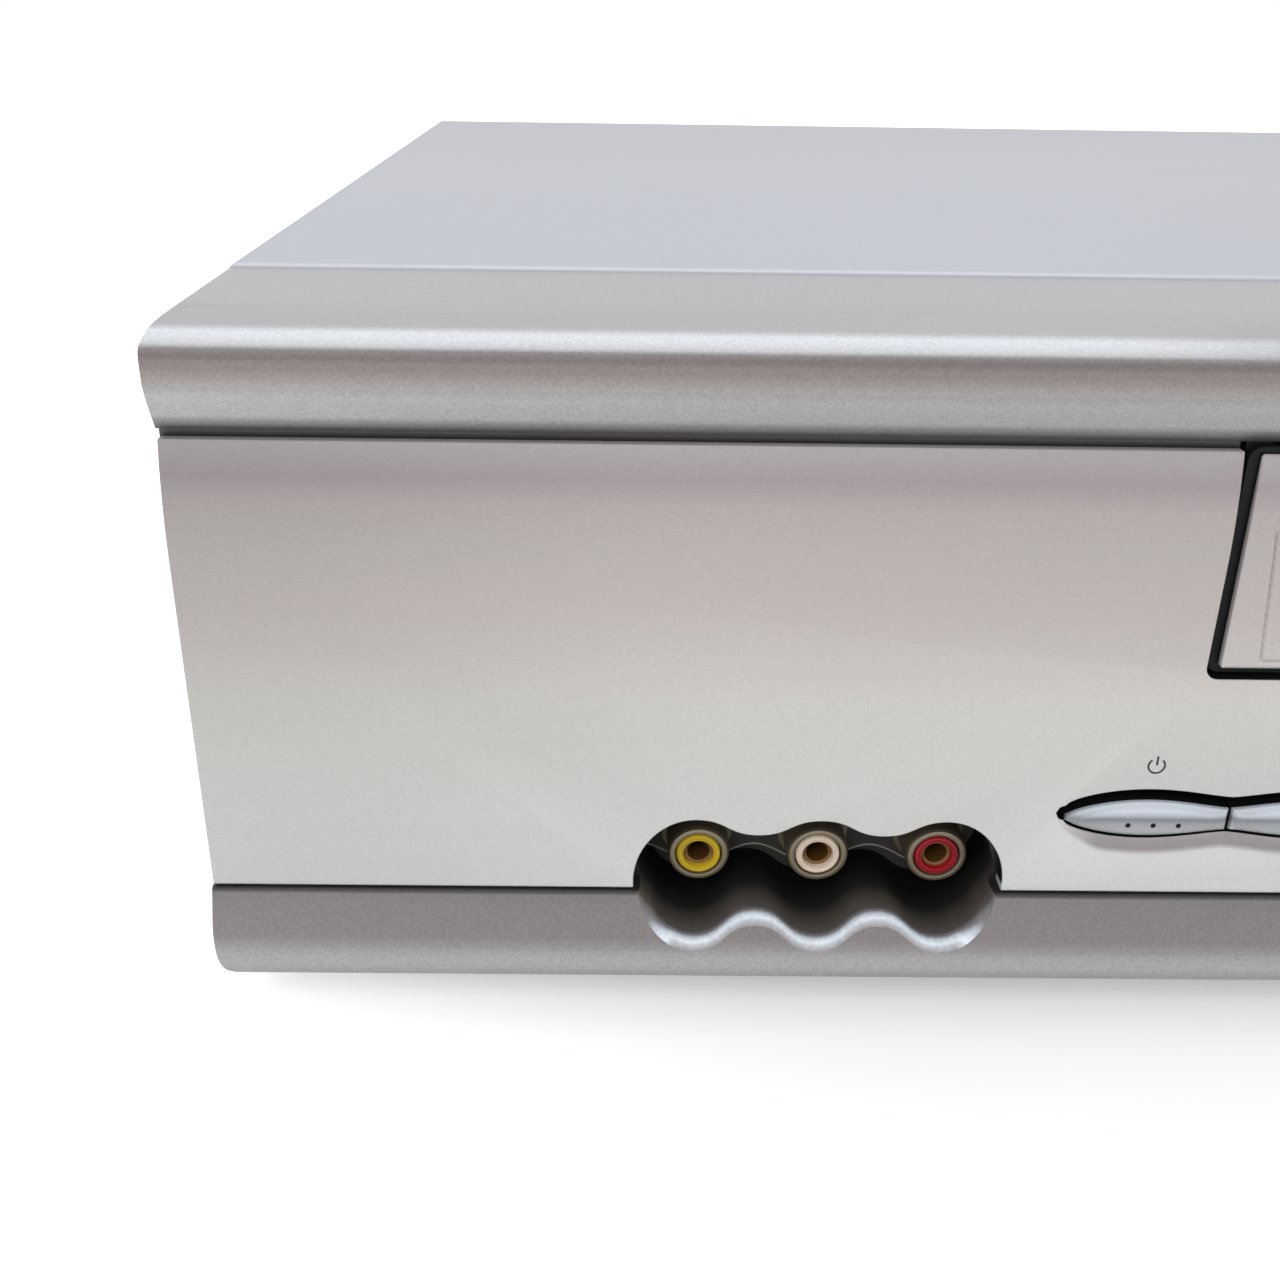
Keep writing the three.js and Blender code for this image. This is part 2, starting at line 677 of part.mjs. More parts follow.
const deckPosts = [
  [mid - deck.half + deckPost.inset, deck.front + deckPost.inset],
  [mid + deck.half - deckPost.inset, deck.front + deckPost.inset],
  [mid - deck.rearLeft + deckPost.inset, deck.rear - deckPost.inset],
  [deckRearRight - deckPost.inset, deck.rear - deckPost.inset],
];
const board = { inset: 6, front: -84, rear: 120, thickness: 1.6, postInset: 8 };
const boardPosts = [-1, 1].flatMap((side) =>
  [board.front + board.postInset, 0, board.rear - board.postInset].map((y) => [
    side * (trayX - board.inset - board.postInset), y,
  ]),
);
const foot = { radius: 11, insetX: 30, frontY: -74, rearY: 104, edge: 1.2 };
function chassis() {
  const outer = block(-trayX, trayX, seamY + seatGap, trayRear, trayBottom, trayBottom + tray.side);
  const inner = block(
    -trayX + tray.thickness, trayX - tray.thickness,
    seamY + seatGap - overrun, trayRear + overrun, floorTop, trayBottom + tray.side + overrun,
  );
  const slots = [-1, 1].flatMap((side) =>
    Array.from({ length: slot.count }, (unused, i) => {
      const x = side * trayX * slot.placeShare + (i - slot.count / 2) * slot.pitch;
      return block(
        x, x + slot.width, -slot.length / 2, slot.length / 2, trayBottom - overrun, floorTop + overrun,
      );
    }),
  );
  const posts = boardPosts.map((place) =>
    bar("z", place, boardPost.radius, floorTop - tray.thickness / 2, floorTop + boardPost.height, smallSteps),
  );
  const tall = deckPosts.map((place) =>
    bar("z", place, deckPost.radius, floorTop - tray.thickness / 2, deck.bottom - seatGap, smallSteps),
  );
  return joined([cut(outer, [inner, ...slots]), ...posts, ...tall]);
}
piece("main_chassis", chassis(), zincSteel);

// Top cover: one steel sheet bent down at both sides, with side vents
const cover = { bend: 1.4, legBottom: 3.2 };
const vent = { width: 2.6, height: 15, pitch: 8, count: 9, rear: 24, bottom: 38 };
function topCover() {
  const outer = new THREE.Shape();
  const low = above(cover.legBottom);
  outer.moveTo(leftX, low);
  outer.lineTo(leftX + sheet, low);
  outer.lineTo(leftX + sheet, topZ - cover.bend);
  outer.absarc(leftX + cover.bend, topZ - cover.bend, cover.bend - sheet, Math.PI, Math.PI / 2, true);
  outer.lineTo(-leftX - cover.bend, topZ - sheet);
  outer.absarc(-leftX - cover.bend, topZ - cover.bend, cover.bend - sheet, Math.PI / 2, 0, true);
  outer.lineTo(-leftX - sheet, low);
  outer.lineTo(-leftX, low);
  outer.lineTo(-leftX, topZ - cover.bend);
  outer.absarc(-leftX - cover.bend, topZ - cover.bend, cover.bend, 0, Math.PI / 2);
  outer.lineTo(leftX + cover.bend, topZ);
  outer.absarc(leftX + cover.bend, topZ - cover.bend, cover.bend, Math.PI / 2, Math.PI);
  outer.closePath();
  const skin = alongY(outer, seamY + seatGap, rearY, smallSteps / 2);
  const vents = Array.from({ length: vent.count }, (unused, i) => {
    const y = rearY - vent.rear - i * vent.pitch;
    return block(
      leftX - overrun, -leftX + overrun, y - vent.width, y,
      above(vent.bottom), above(vent.bottom) + vent.height,
    );
  });
  const screwHoles = screwPlaces.map(([side, y, z]) =>
    bar(
      "x", [y, z], screw.shank + seatGap,
      side * (-leftX - sheet - overrun), side * (-leftX + overrun), roundSteps,
    ),
  );
  return cut(skin, [...vents, ...screwHoles]);
}

// Screws that hold the cover to the chassis, one at each side
const screw = { head: 3.4, headDepth: 1.8, shank: 1.5, length: 1.2, y: 32, rise: 7 };
const screwPlaces = [-1, 1].map((side) => [side, screw.y, trayBottom + screw.rise]);
function sideScrew([side, y, z]) {
  const face = side * (-leftX + seatGap);
  const out = face + side * screw.headDepth;
  const end = face - side * screw.length;
  const head = bar("x", [y, z], screw.head, Math.min(face, out), Math.max(face, out), smallSteps);
  return head.add(bar("x", [y, z], screw.shank, Math.min(face, end), Math.max(face, end), smallSteps));
}
piece("top_cover", topCover(), coverPaint);

// Rear panel: a steel plate inside the end of the cover, cut for sockets, tuner and cord bushing
const rearPlate = { inset: 1.1, thickness: 1, side: 1.4 };
const rearFace = rearY - rearPlate.inset;
const rearBack = rearFace - rearPlate.thickness;
const tunerX = [-1, 1].map((side) => tunerLeft + (tuner.width + side * tuner.spread) / 2);
const tunerZ = boardZ + tuner.bottom + tuner.rise;
const outlets = {
  toTuner: 110, width: 48, height: 44, length: 14, bottom: 4,
  columns: 2, rows: 2, pitchX: 18, pitchZ: 16, first: 13,
};
const outletsLeft = tunerLeft - outlets.toTuner - outlets.width;
const bushing = { inset: 30, rise: 16, radius: 7, flange: 9, proud: 4, bore: 3.4, depth: 8, flangeDepth: 2 };
const bushingPlace = [leftX + bushing.inset, floorTop + bushing.rise];
const rearVent = { width: 2.4, height: 12, pitch: 7, inset: 40, clearance: 18, bottom: 52 };
const rearVentCount = Math.floor((outletsLeft - rearVent.clearance - across(rearVent.inset)) / rearVent.pitch);
function rearPanel() {
  const plate = block(
    leftX + sheet + rearPlate.side, -leftX - sheet - rearPlate.side,
    rearBack, rearFace, above(cover.legBottom), topZ - sheet - seatGap,
  );
  const y0 = rearBack - overrun;
  const y1 = rearFace + overrun;
  const holes = tunerX.map((x) => bar("y", [x, tunerZ], tuner.connector + seatGap, y0, y1, roundSteps));
  const outletHole = block(
    outletsLeft - seatGap, outletsLeft + outlets.width + seatGap, y0, y1,
    boardZ + outlets.bottom - seatGap, boardZ + outlets.bottom + outlets.height + seatGap,
  );
  const cordHole = bar("y", bushingPlace, bushing.radius + seatGap, y0, y1, roundSteps);
  const low = above(rearVent.bottom);
  const vents = Array.from({ length: rearVentCount }, (unused, i) => {
    const x = across(rearVent.inset) + i * rearVent.pitch;
    return block(x, x + rearVent.width, y0, y1, low, low + rearVent.height);
  });
  return cut(plate, [...holes, outletHole, cordHole, ...vents]);
}
piece("rear_panel", rearPanel(), blackPlastic);
piece("left_cover_screw", sideScrew(screwPlaces[0]), zincSteel);
piece("right_cover_screw", sideScrew(screwPlaces[1]), zincSteel);

// Feet: four rubber cups under the corners of the chassis
function cupFoot(x, y) {
  const seat = trayBottom - seatGap;
  return turned([
    [0, 0], [foot.radius - foot.edge * 2, 0], [foot.radius - foot.edge, foot.edge],
    [foot.radius, seat - foot.edge], [foot.radius, seat], [0, seat],
  ], x, y, roundSteps);
}
for (const [side, sideName] of [[-1, "left"], [1, "right"]]) {
  for (const [y, endName] of [[foot.frontY, "front"], [foot.rearY, "rear"]]) {
    piece(endName + "_" + sideName + "_foot", cupFoot(side * (-leftX - foot.insetX), y), rubber);
  }
}

// Main circuit board with the power supply at its left and the tuner at its rear
const chip = { size: 16, height: 2.6, first: 30, pitch: 20, y: -50, stepY: 27, count: 4 };
const canister = { radius: 5, height: 11, first: 96, pitch: 26, y: -72, stepY: 32, count: 4 };
function mainBoard() {
  const side = trayX - board.inset;
  const plate = block(-side, side, board.front, board.rear, boardZ, boardZ + board.thickness);
  const top = boardZ + board.thickness;
  const chips = Array.from({ length: chip.count }, (unused, i) => {
    const x = across(chip.first + i * chip.pitch);
    const y = chip.y + i * chip.stepY;
    return block(x, x + chip.size, y, y + chip.size, top - seatGap, top + chip.height);
  });
  const cans = Array.from({ length: canister.count }, (unused, i) => {
    const place = [across(canister.first - i * canister.pitch), canister.y + i * canister.stepY];
    return bar("z", place, canister.radius, top - seatGap, top + canister.height, smallSteps);
  });
  const deckHoles = deckPosts.map((place) =>
    bar("z", place, deckPost.radius + slipGap, boardZ - overrun, top + overrun, smallSteps),
  );
  return cut(joined([plate, ...chips, ...cans]), deckHoles);
}
piece("main_circuit_board", mainBoard(), boardGreen);
const partsZ = boardZ + board.thickness + seatGap;

// Power transformer: a ferrite core with the winding between its limbs
const transformer = { inset: 40, y: 60, core: 34, depthY: 28, height: 26, limb: 7, winding: 12 };
function powerTransformer() {
  const { y, core, depthY, height, limb, winding } = transformer;
  const x = across(transformer.inset);
  const frame = block(x - core / 2, x + core / 2, y - depthY / 2, y + depthY / 2, partsZ, partsZ + height);
  const window = block(
    x - core / 2 + limb, x + core / 2 - limb, y - depthY / 2 - overrun, y + depthY / 2 + overrun,
    partsZ + limb, partsZ + height - limb,
  );
  const coil = bar("z", [x, y], winding, partsZ + limb / 2, partsZ + height - limb / 2, roundSteps);
  return frame.subtract(window).add(coil);
}
piece("power_transformer", powerTransformer(), ferrite);

// Heat sink: a row of thin fins on a back plate
const sink = { inset: 26, y: 96, length: 36, height: 32, plate: 2.4, fin: 1.2, depth: 14, count: 8 };
function heatSink() {
  const left = across(sink.inset);
  const plate = block(left, left + sink.length, sink.y, sink.y + sink.plate, partsZ, partsZ + sink.height);
  const step = (sink.length - sink.fin) / (sink.count - 1);
  const fins = Array.from({ length: sink.count }, (unused, i) =>
    block(
      left + i * step, left + i * step + sink.fin, sink.y - sink.depth, sink.y + sink.plate / 2,
      partsZ, partsZ + sink.height,
    ),
  );
  return joined([plate, ...fins]);
}
piece("heat_sink", heatSink(), machinedMetal);

// Tuner: a shielded box whose two aerial sockets stand out through the rear panel
function tunerBox() {
  const z0 = partsZ;
  const y1 = rearBack - seatGap;
  const box = block(tunerLeft, tunerLeft + tuner.width, y1 - tuner.length, y1, z0, z0 + tuner.height);
  const sleeves = tunerX.map((x) =>
    bar("y", [x, tunerZ], tuner.connector, y1 - seatGap, rearY + terminalProud, roundSteps),
  );
  const bores = tunerX.map((x) =>
    bar("y", [x, tunerZ], tuner.bore, rearY - overrun, rearY + terminalProud + overrun, smallSteps),
  );
  return cut(joined([box, ...sleeves]), bores);
}
piece("tuner_box", tunerBox(), zincSteel);

// Rear sockets: a block with four sleeves for the sound and picture leads
const outletSleeve = { radius: 4.15, proud: 5, bore: 1.7 };
function rearSocketBlock() {
  const z0 = partsZ;
  const z1 = boardZ + outlets.bottom + outlets.height;
  const shelf = boardZ + outlets.bottom;
  const right = outletsLeft + outlets.width;
  const y0 = rearFace - outlets.length;
  const body = block(outletsLeft, right, y0, rearFace, shelf, z1)
    .add(block(outletsLeft, right, y0, rearBack - seatGap, z0, shelf + seatGap));
  const places = [];
  for (let column = 0; column < outlets.columns; column++) {
    for (let row = 0; row < outlets.rows; row++) {
      places.push([
        outletsLeft + outlets.width / 2 + (column - 0.5) * outlets.pitchX,
        z0 + outlets.first + row * outlets.pitchZ,
      ]);
    }
  }
  const from = rearFace - seatGap;
  const to = rearFace + outletSleeve.proud;
  const sleeves = places.map((place) => bar("y", place, outletSleeve.radius, from, to, roundSteps));
  const bores = places.map((place) => bar("y", place, outletSleeve.bore, from, to + overrun));
  return cut(joined([body, ...sleeves]), bores);
}
piece("rear_socket_block", rearSocketBlock(), blackPlastic);

// Cord bushing: the gland in the rear panel that the mains lead passes through
function cordBushing() {
  const seat = rearFace + seatGap;
  const inner = rearBack - bushing.depth;
  const end = seat + bushing.proud;
  return bar("y", bushingPlace, bushing.flange, seat, seat + bushing.flangeDepth, roundSteps)
    .add(bar("y", bushingPlace, bushing.radius, inner, end, roundSteps))
    .subtract(bar("y", bushingPlace, bushing.bore, inner - overrun, end + overrun, smallSteps));
}
piece("cord_bushing", cordBushing(), blackPlastic);

// Tape mechanism, which sits behind the middle of the cassette door
const wheelGap = 0.25;
const gearDepth = { head: 0.8, root: 1.1, tipShare: 0.17, footShare: 0.3 };

// A spur gear's outline, with one tooth centred on the phase angle
function gearOutline(teeth, module, phase) {
  const radius = (teeth * module) / 2;
  const step = (2 * Math.PI) / teeth;
  const points = [];
  for (let i = 0; i < teeth; i++) {
    const middle = phase + i * step;
    for (const [share, r] of [
      [-gearDepth.footShare, radius - gearDepth.root * module],
      [-gearDepth.tipShare, radius + gearDepth.head * module],
      [gearDepth.tipShare, radius + gearDepth.head * module],
      [gearDepth.footShare, radius - gearDepth.root * module],
    ]) {
      points.push([r * Math.cos(middle + share * step), r * Math.sin(middle + share * step)]);
    }
  }
  return outline(points);
}

// A spur gear standing at x, y from z0 to z1
function spurGear(teeth, module, phase, [x, y], z0, z1) {
  return alongZ(gearOutline(teeth, module, phase), z0, z1).translate([x, y, 0]);
}

// Places in the mechanism
const reelRim = { radius: 24, bottom: 1.6, thickness: 2.8, groove: 0.7 };
const idler = { radius: 12, swing: Math.PI / 6, bore: 1.5, plate: 1, dish: 0.8, tyre: 2.6, hub: 3.4 };
const clutch = { radius: 8, bore: 1.5, pulley: 15, pulleyTop: 2, pulleyHeight: 3.4 };
const idlerArmLength = idler.radius + clutch.radius + wheelGap;
const reelOffset = idlerArmLength * Math.sin(idler.swing) + reelRim.radius + idler.radius + wheelGap;
const reelY = -9;
const pivotY = reelY + idlerArmLength * Math.cos(idler.swing);
const rimZ = deckTop + reelRim.bottom;
const rimTop = rimZ + reelRim.thickness;
const capstan = { toMiddle: 48, y: 50, shaft: 1.5, top: 58, wheel: 25, pulley: 10 };
const capstanX = mid + capstan.toMiddle;
// A gear's module is its pitch circle's diameter for each tooth
const cam = { toMiddle: 75, y: 69, teeth: 30, module: 1.07, thickness: 3, hub: 5, rise: 1.6, boss: 1.4 };
const camX = mid - cam.toMiddle;
const pinion = { teeth: 10, angle: (215 * Math.PI) / 180, shaft: 1, rise: 1 };
const camRadius = (cam.teeth * cam.module) / 2;
const pinionRadius = (pinion.teeth * cam.module) / 2;
const pinionPlace = [
  camX + (camRadius + pinionRadius + wheelGap) * Math.cos(pinion.angle),
  cam.y + (camRadius + pinionRadius + wheelGap) * Math.sin(pinion.angle),
];
const drum = {
  y: 84, radius: 31, lower: 14, upper: 15, gap: 0.4, tiltDegrees: 5.5, shaft: 3, rim: 9, dish: 1.6,
  base: 24, baseDepth: 24.8, baseHeight: 2.4, rise: 3.6, neck: 22,
};
const guide = {
  post: 1.5, roller: 3.6, boat: 5.5, boatHeight: 3, top: 56, slot: 2.4, keel: 2,
  fromX: 26, fromY: 46, toX: 40, toY: 74,
};
const guidePaths = [
  { name: "supply_guide", from: [mid - guide.fromX, guide.fromY], to: [mid - guide.toX, guide.toY] },
  { name: "take_up_guide", from: [mid + guide.fromX, guide.fromY], to: [mid + guide.toX, guide.toY] },
];
const pinch = {
  aside: 25, behind: 12, roller: 7, bottom: 36, top: 51, arm: 3.5, armThickness: 2, pin: 1.2, swingDegrees: 25,
};
const pinchPivot = [capstanX + pinch.aside, capstan.y + pinch.behind];

// Deck: the steel plate that carries the mechanism
const shaftHole = 2.2;
function deckPlate() {
  const shape = outline([
    [mid - deck.half, deck.front], [mid + deck.half, deck.front],
    [mid + deck.half, deck.right], [deckRearRight, deck.rightNotch],
    [deckRearRight, deck.rear], [mid - deck.rearLeft, deck.rear],
    [mid - deck.rearLeft, deck.leftNotch], [mid - deck.half, deck.left],
  ]);
  const plate = alongZ(shape, deck.bottom, deckTop);
  const through = (place, radius) =>
    bar("z", place, radius, deck.bottom - overrun, deckTop + overrun, roundSteps);
  const shafts = [
    [mid - reelOffset, reelY], [mid + reelOffset, reelY], [mid, pivotY],
    [camX, cam.y], pinionPlace, [capstanX, capstan.y], pinchPivot,
  ].map((place) => through(place, shaftHole));
  const slots = guidePaths.map(({ from, to }) => {
    const run = new THREE.Vector2(to[0] - from[0], to[1] - from[1]);
    const reach = run.length() + 2 * guide.slot;
    const middle = [(from[0] + to[0]) / 2, (from[1] + to[1]) / 2];
    const box = new THREE.BoxGeometry(reach, 2 * guide.slot, deck.thickness + 2 * overrun)
      .rotateZ(run.angle())
      .translate(middle[0], middle[1], deck.bottom + deck.thickness / 2);
    return solid(box);
  });
  return cut(plate, [...shafts, ...slots]);
}
piece("mechanism_deck", deckPlate(), zincSteel);

// Reel tables: a grooved rim with a three-winged spindle that drives the cassette's hub
const spindle = {
  radius: 5, top: 15, tip: 2.5, stub: 2, wing: 1, wings: 3, wingReach: 7.4, table: 14, tableRise: 1.2,
};
function reelTable(x) {
  const middle = (rimZ + rimTop) / 2;
  const table = turned([
    [0, deck.bottom], [spindle.stub, deck.bottom], [spindle.stub, rimZ],
    [reelRim.radius, rimZ], [reelRim.radius - reelRim.groove, middle], [reelRim.radius, rimTop],
    [spindle.table, rimTop], [spindle.table, rimTop + spindle.tableRise],
    [spindle.radius, rimTop + spindle.tableRise], [spindle.radius, rimTop + spindle.top - spindle.tip],
    [spindle.tip, rimTop + spindle.top], [0, rimTop + spindle.top],
  ], x, reelY, 2 * roundSteps);
  const wings = Array.from({ length: spindle.wings }, (unused, i) => {
    const angle = (i * 2 * Math.PI) / spindle.wings;
    const fin = new THREE.BoxGeometry(spindle.wingReach, spindle.wing * 2, spindle.top - spindle.tip * 2)
      .translate(spindle.wingReach / 2, 0, rimTop + (spindle.top - spindle.tip) / 2)
      .rotateZ(angle)
      .translate(x, reelY, 0);
    return solid(fin);
  });
  return joined([table, ...wings]);
}
piece("supply_reel_table", reelTable(mid - reelOffset), whiteNylon);
piece("take_up_reel_table", reelTable(mid + reelOffset), whiteNylon);

// Clutch wheel: a friction wheel above the deck on one shaft with the belt pulley below it
const pulleyZ = deck.bottom - clutch.pulleyTop - clutch.pulleyHeight;
function clutchWheel() {
  return turned([
    [0, pulleyZ], [clutch.pulley, pulleyZ],
    [clutch.pulley - 2 * seatGap, pulleyZ + clutch.pulleyHeight / 2],
    [clutch.pulley, pulleyZ + clutch.pulleyHeight], [clutch.bore, pulleyZ + clutch.pulleyHeight],
    [clutch.bore, rimZ], [clutch.radius, rimZ], [clutch.radius, rimTop],
    [clutch.bore * 2, rimTop], [clutch.bore * 2, rimTop + overrun], [0, rimTop + overrun],
  ], mid, pivotY, 2 * roundSteps);
}
piece("clutch_wheel", clutchWheel(), whiteNylon);

// Idler arm: swings on the clutch shaft and carries the idler wheel from reel to reel
const armZ = deckTop + seatGap;
const armTop = armZ + idler.plate;
const idlerPlace = [mid, pivotY - idlerArmLength];
function idlerArm() {
  const half = clutch.bore * 2;
  const bare = block(mid - half, mid + half, idlerPlace[1], pivotY, armZ, armTop)
    .add(bar("z", [mid, pivotY], half, armZ, armTop, roundSteps))
    .add(bar("z", idlerPlace, half, armZ, armTop, roundSteps))
    .add(bar("z", idlerPlace, idler.bore, armZ, rimTop - seatGap, roundSteps));
  const hole = bar("z", [mid, pivotY], clutch.bore + seatGap, armZ - overrun, armTop + overrun, roundSteps);
  return bare.subtract(hole);
}
piece("idler_arm", idlerArm(), zincSteel);

// Idler wheel: a dished wheel with a rubber tyre
const bore = idler.bore + seatGap;
const tyreInside = idler.radius - idler.tyre;
const idlerWheel = turned([
  [bore, rimZ], [idler.radius, rimZ], [idler.radius, rimTop], [tyreInside, rimTop],
  [tyreInside, rimTop - idler.dish], [idler.hub, rimTop - idler.dish], [idler.hub, rimTop],
  [bore, rimTop], [bore, rimZ],
], idlerPlace[0], idlerPlace[1], 2 * roundSteps);
piece("idler_wheel", idlerWheel, rubber);

// Capstan: a long steel shaft pressed into a flywheel that the motor turns
const wheelTop = deck.bottom - 2 * seatGap;
function capstanFlywheel() {
  const low = pulleyZ - clutch.pulleyHeight / 2;
  const high = pulleyZ + clutch.pulleyHeight;
  return turned([
    [0, low], [capstan.pulley, low], [capstan.pulley, high], [capstan.wheel, high],
    [capstan.wheel, wheelTop], [capstan.shaft * 2, wheelTop],
    [capstan.shaft, deck.bottom], [capstan.shaft, capstan.top], [0, capstan.top],
  ], capstanX, capstan.y, 2 * roundSteps);
}
piece("capstan_flywheel", capstanFlywheel(), machinedMetal);

// Drive belt: a flat rubber loop round the capstan's pulley and the clutch's pulley
const belt = { thickness: 0.9, height: 2 };
function driveBelt() {
  const far = new THREE.Vector2(capstanX - mid, capstan.y - pivotY);
  const span = far.length();
  const lean = far.angle();
  const loop = (margin) => {
    const large = clutch.pulley + margin;
    const small = capstan.pulley + margin;
    const tangent = Math.acos((large - small) / span);
    const shape = new THREE.Shape();
    shape.absarc(0, 0, large, tangent, 2 * Math.PI - tangent);
    shape.absarc(span, 0, small, -tangent, tangent);
    shape.closePath();
    return shape;
  };
  const z0 = pulleyZ + (clutch.pulleyHeight - belt.height) / 2;
  const band = alongZ(loop(seatGap + belt.thickness), z0, z0 + belt.height)
    .subtract(alongZ(loop(seatGap), z0 - overrun, z0 + belt.height + overrun));
  return band.rotate([0, 0, (lean * 180) / Math.PI]).translate([mid, pivotY, 0]);
}
piece("drive_belt", driveBelt(), rubber);

// Mode cam gear: turned by the loading motor, it moves the guides and the pinch arm
const camZ = deckTop + cam.rise;
function camGear() {
  const camTop = camZ + cam.thickness;
  const wheel = spurGear(cam.teeth, cam.module, pinion.angle, [camX, cam.y], camZ, camTop);
  const boss = turned([
    [0, deck.bottom], [cam.boss, deck.bottom], [cam.boss, deckTop + seatGap], [cam.hub, deckTop + seatGap],
    [cam.hub, camTop + cam.boss], [0, camTop + cam.boss],
  ], camX, cam.y);
  return wheel.add(boss);
}
piece("mode_cam_gear", camGear(), whiteNylon);

// Loading motor: a can on a bracket above the pinion that it drives
const motor = { radius: 7.5, bottom: 4.5, height: 20, leg: 1.5, flange: 1.2 };
const motorZ = camZ + cam.thickness + motor.bottom;
const pinionStep = (2 * Math.PI) / pinion.teeth;
const pinionPhase = pinion.angle + Math.PI + pinionStep / 2;
const pinionTeeth = spurGear(pinion.teeth, cam.module, pinionPhase, pinionPlace, camZ, camZ + cam.thickness);
const pinionShaft = bar("z", pinionPlace, pinion.shaft, deck.bottom, motorZ - seatGap);
piece("loading_pinion", pinionTeeth.add(pinionShaft), machinedMetal);
function loadingMotor() {
  const [x, y] = pinionPlace;
  const can = bar("z", pinionPlace, motor.radius, motorZ, motorZ + motor.height, roundSteps);
  const legY = y - motor.radius + motor.leg / 2;
  const leg = block(
    x - motor.radius / 2, x + motor.radius / 2, legY - motor.leg, legY,
    deckTop + seatGap, motorZ + motor.flange,
  );
  return can.add(leg);
}
piece("loading_motor", loadingMotor(), zincSteel);

// Tape guides: upright posts with rollers on boats that run in the deck's slots
for (const path of guidePaths) {
  const [x, y] = path.from;
  const z0 = deckTop + seatGap;
  const z1 = z0 + guide.boatHeight;
  const body = turned([
    [0, deck.bottom], [guide.keel, deck.bottom], [guide.keel, z0], [guide.boat, z0],
    [guide.boat, z1], [guide.post, z1], [guide.post, z1 + guide.boatHeight / 2],
    [guide.roller, z1 + guide.boatHeight / 2], [guide.roller, guide.top - guide.post],
    [guide.post, guide.top - guide.post], [guide.post, guide.top], [0, guide.top],
  ], x, y, smallSteps * 2);
  piece(path.name, body, machinedMetal);
}

// Head drum: a fixed lower drum on a leaning base, and the turning upper drum above it
const drumPivot = [mid, drum.y, deckTop + drum.rise];
const lean = (body) =>
  body
    .translate([0, 0, -drumPivot[2]])
    .rotate([-drum.tiltDegrees, 0, 0])
    .translate(drumPivot);
function lowerDrum() {
  const z0 = drumPivot[2];
  const drumBody = turned([
    [0, z0], [drum.radius, z0], [drum.radius, z0 + drum.lower], [drum.shaft, z0 + drum.lower],
    [drum.shaft, z0 + drum.lower + drum.upper / 2], [0, z0 + drum.lower + drum.upper / 2],
  ], 0, 0, roundSteps * 2);
  const base = block(
    mid - drum.base, mid + drum.base,
    drum.y - drum.baseDepth, drum.y + drum.baseDepth,
    deckTop + seatGap, deckTop + seatGap + drum.baseHeight,
  );
  const neck = bar("z", [mid, drum.y], drum.neck, deckTop + seatGap, drumPivot[2] + drum.rise, roundSteps);
  return joined([lean(drumBody), base, neck]);
}
piece("lower_drum", lowerDrum(), machinedMetal);
function upperDrum() {
  const z0 = drumPivot[2] + drum.lower + drum.gap;
  const z1 = z0 + drum.upper;
  const rimIn = drum.radius - drum.rim;
  return lean(turned([
    [drum.shaft + seatGap, z0], [drum.radius, z0], [drum.radius, z1], [rimIn, z1],
    [rimIn, z1 - drum.dish], [drum.shaft * 2, z1 - drum.dish],
    [drum.shaft * 2, z1], [drum.shaft + seatGap, z1], [drum.shaft + seatGap, z0],
  ], 0, 0, roundSteps * 2));
}
piece("upper_drum", upperDrum(), machinedMetal);

// Heads that stand beside the tape path
const headPost = { half: 4.5, halfDepth: 4, top: 51, foot: 2.5, footReach: 3, slot: 1.25, slotHeight: 12 };
const headPlaces = { audioX: 65, audioY: 40, eraseX: 62, eraseY: 37 };
const heads = [
  { name: "audio_control_head", x: mid + headPlaces.audioX, y: headPlaces.audioY },
  { name: "full_erase_head", x: mid - headPlaces.eraseX, y: headPlaces.eraseY },
];
for (const { name, x, y } of heads) {
  const z0 = deckTop + seatGap;
  const face = y + headPost.halfDepth;
  const reach = headPost.half + headPost.footReach;
  const stack = block(x - headPost.half, x + headPost.half, y - headPost.halfDepth, face, z0, headPost.top);
  const base = block(x - reach, x + reach, y - headPost.halfDepth, face, z0, z0 + headPost.foot);
  const slotTop = headPost.top - headPost.foot;
  const gapLine = block(
    x - headPost.slot, x + headPost.slot, face - seatGap, face + overrun,
    slotTop - headPost.slotHeight, slotTop,
  );
  piece(name, cut(stack.add(base), [gapLine]), machinedMetal);
}

// Pinch arm: swings the rubber roller against the capstan
const playReach = capstan.shaft + pinch.roller + seatGap;
const playRoller = [capstanX - pinchPivot[0], capstan.y + playReach - pinchPivot[1]];
const pinchLength = Math.hypot(playRoller[0], playRoller[1]);
const pinchAngle = Math.atan2(playRoller[1], playRoller[0]) - (pinch.swingDegrees * Math.PI) / 180;
const rollerPlace = [
  pinchPivot[0] + pinchLength * Math.cos(pinchAngle),
  pinchPivot[1] + pinchLength * Math.sin(pinchAngle),
];
function pinchArm() {
  const z0 = pinch.top + seatGap;
  const beam = new THREE.BoxGeometry(pinchLength, pinch.arm * 2, pinch.armThickness)
    .translate(pinchLength / 2, 0, z0 + pinch.armThickness / 2)
    .rotateZ(pinchAngle)
    .translate(pinchPivot[0], pinchPivot[1], 0);
  const pivot = turned([
    [0, deck.bottom], [shaftHole - seatGap, deck.bottom], [shaftHole - seatGap, deckTop + seatGap],
    [pinch.arm, deckTop + seatGap], [pinch.arm, z0 + pinch.armThickness], [0, z0 + pinch.armThickness],
  ], pinchPivot[0], pinchPivot[1]);
  const pin = bar("z", rollerPlace, pinch.pin, pinch.bottom, z0 + pinch.armThickness, smallSteps);
  return joined([solid(beam), pivot, pin]);
}
piece("pinch_arm", pinchArm(), zincSteel);
const rollerBore = bar(
  "z", rollerPlace, pinch.pin + seatGap,
  pinch.bottom - overrun, pinch.top + overrun, roundSteps,
);
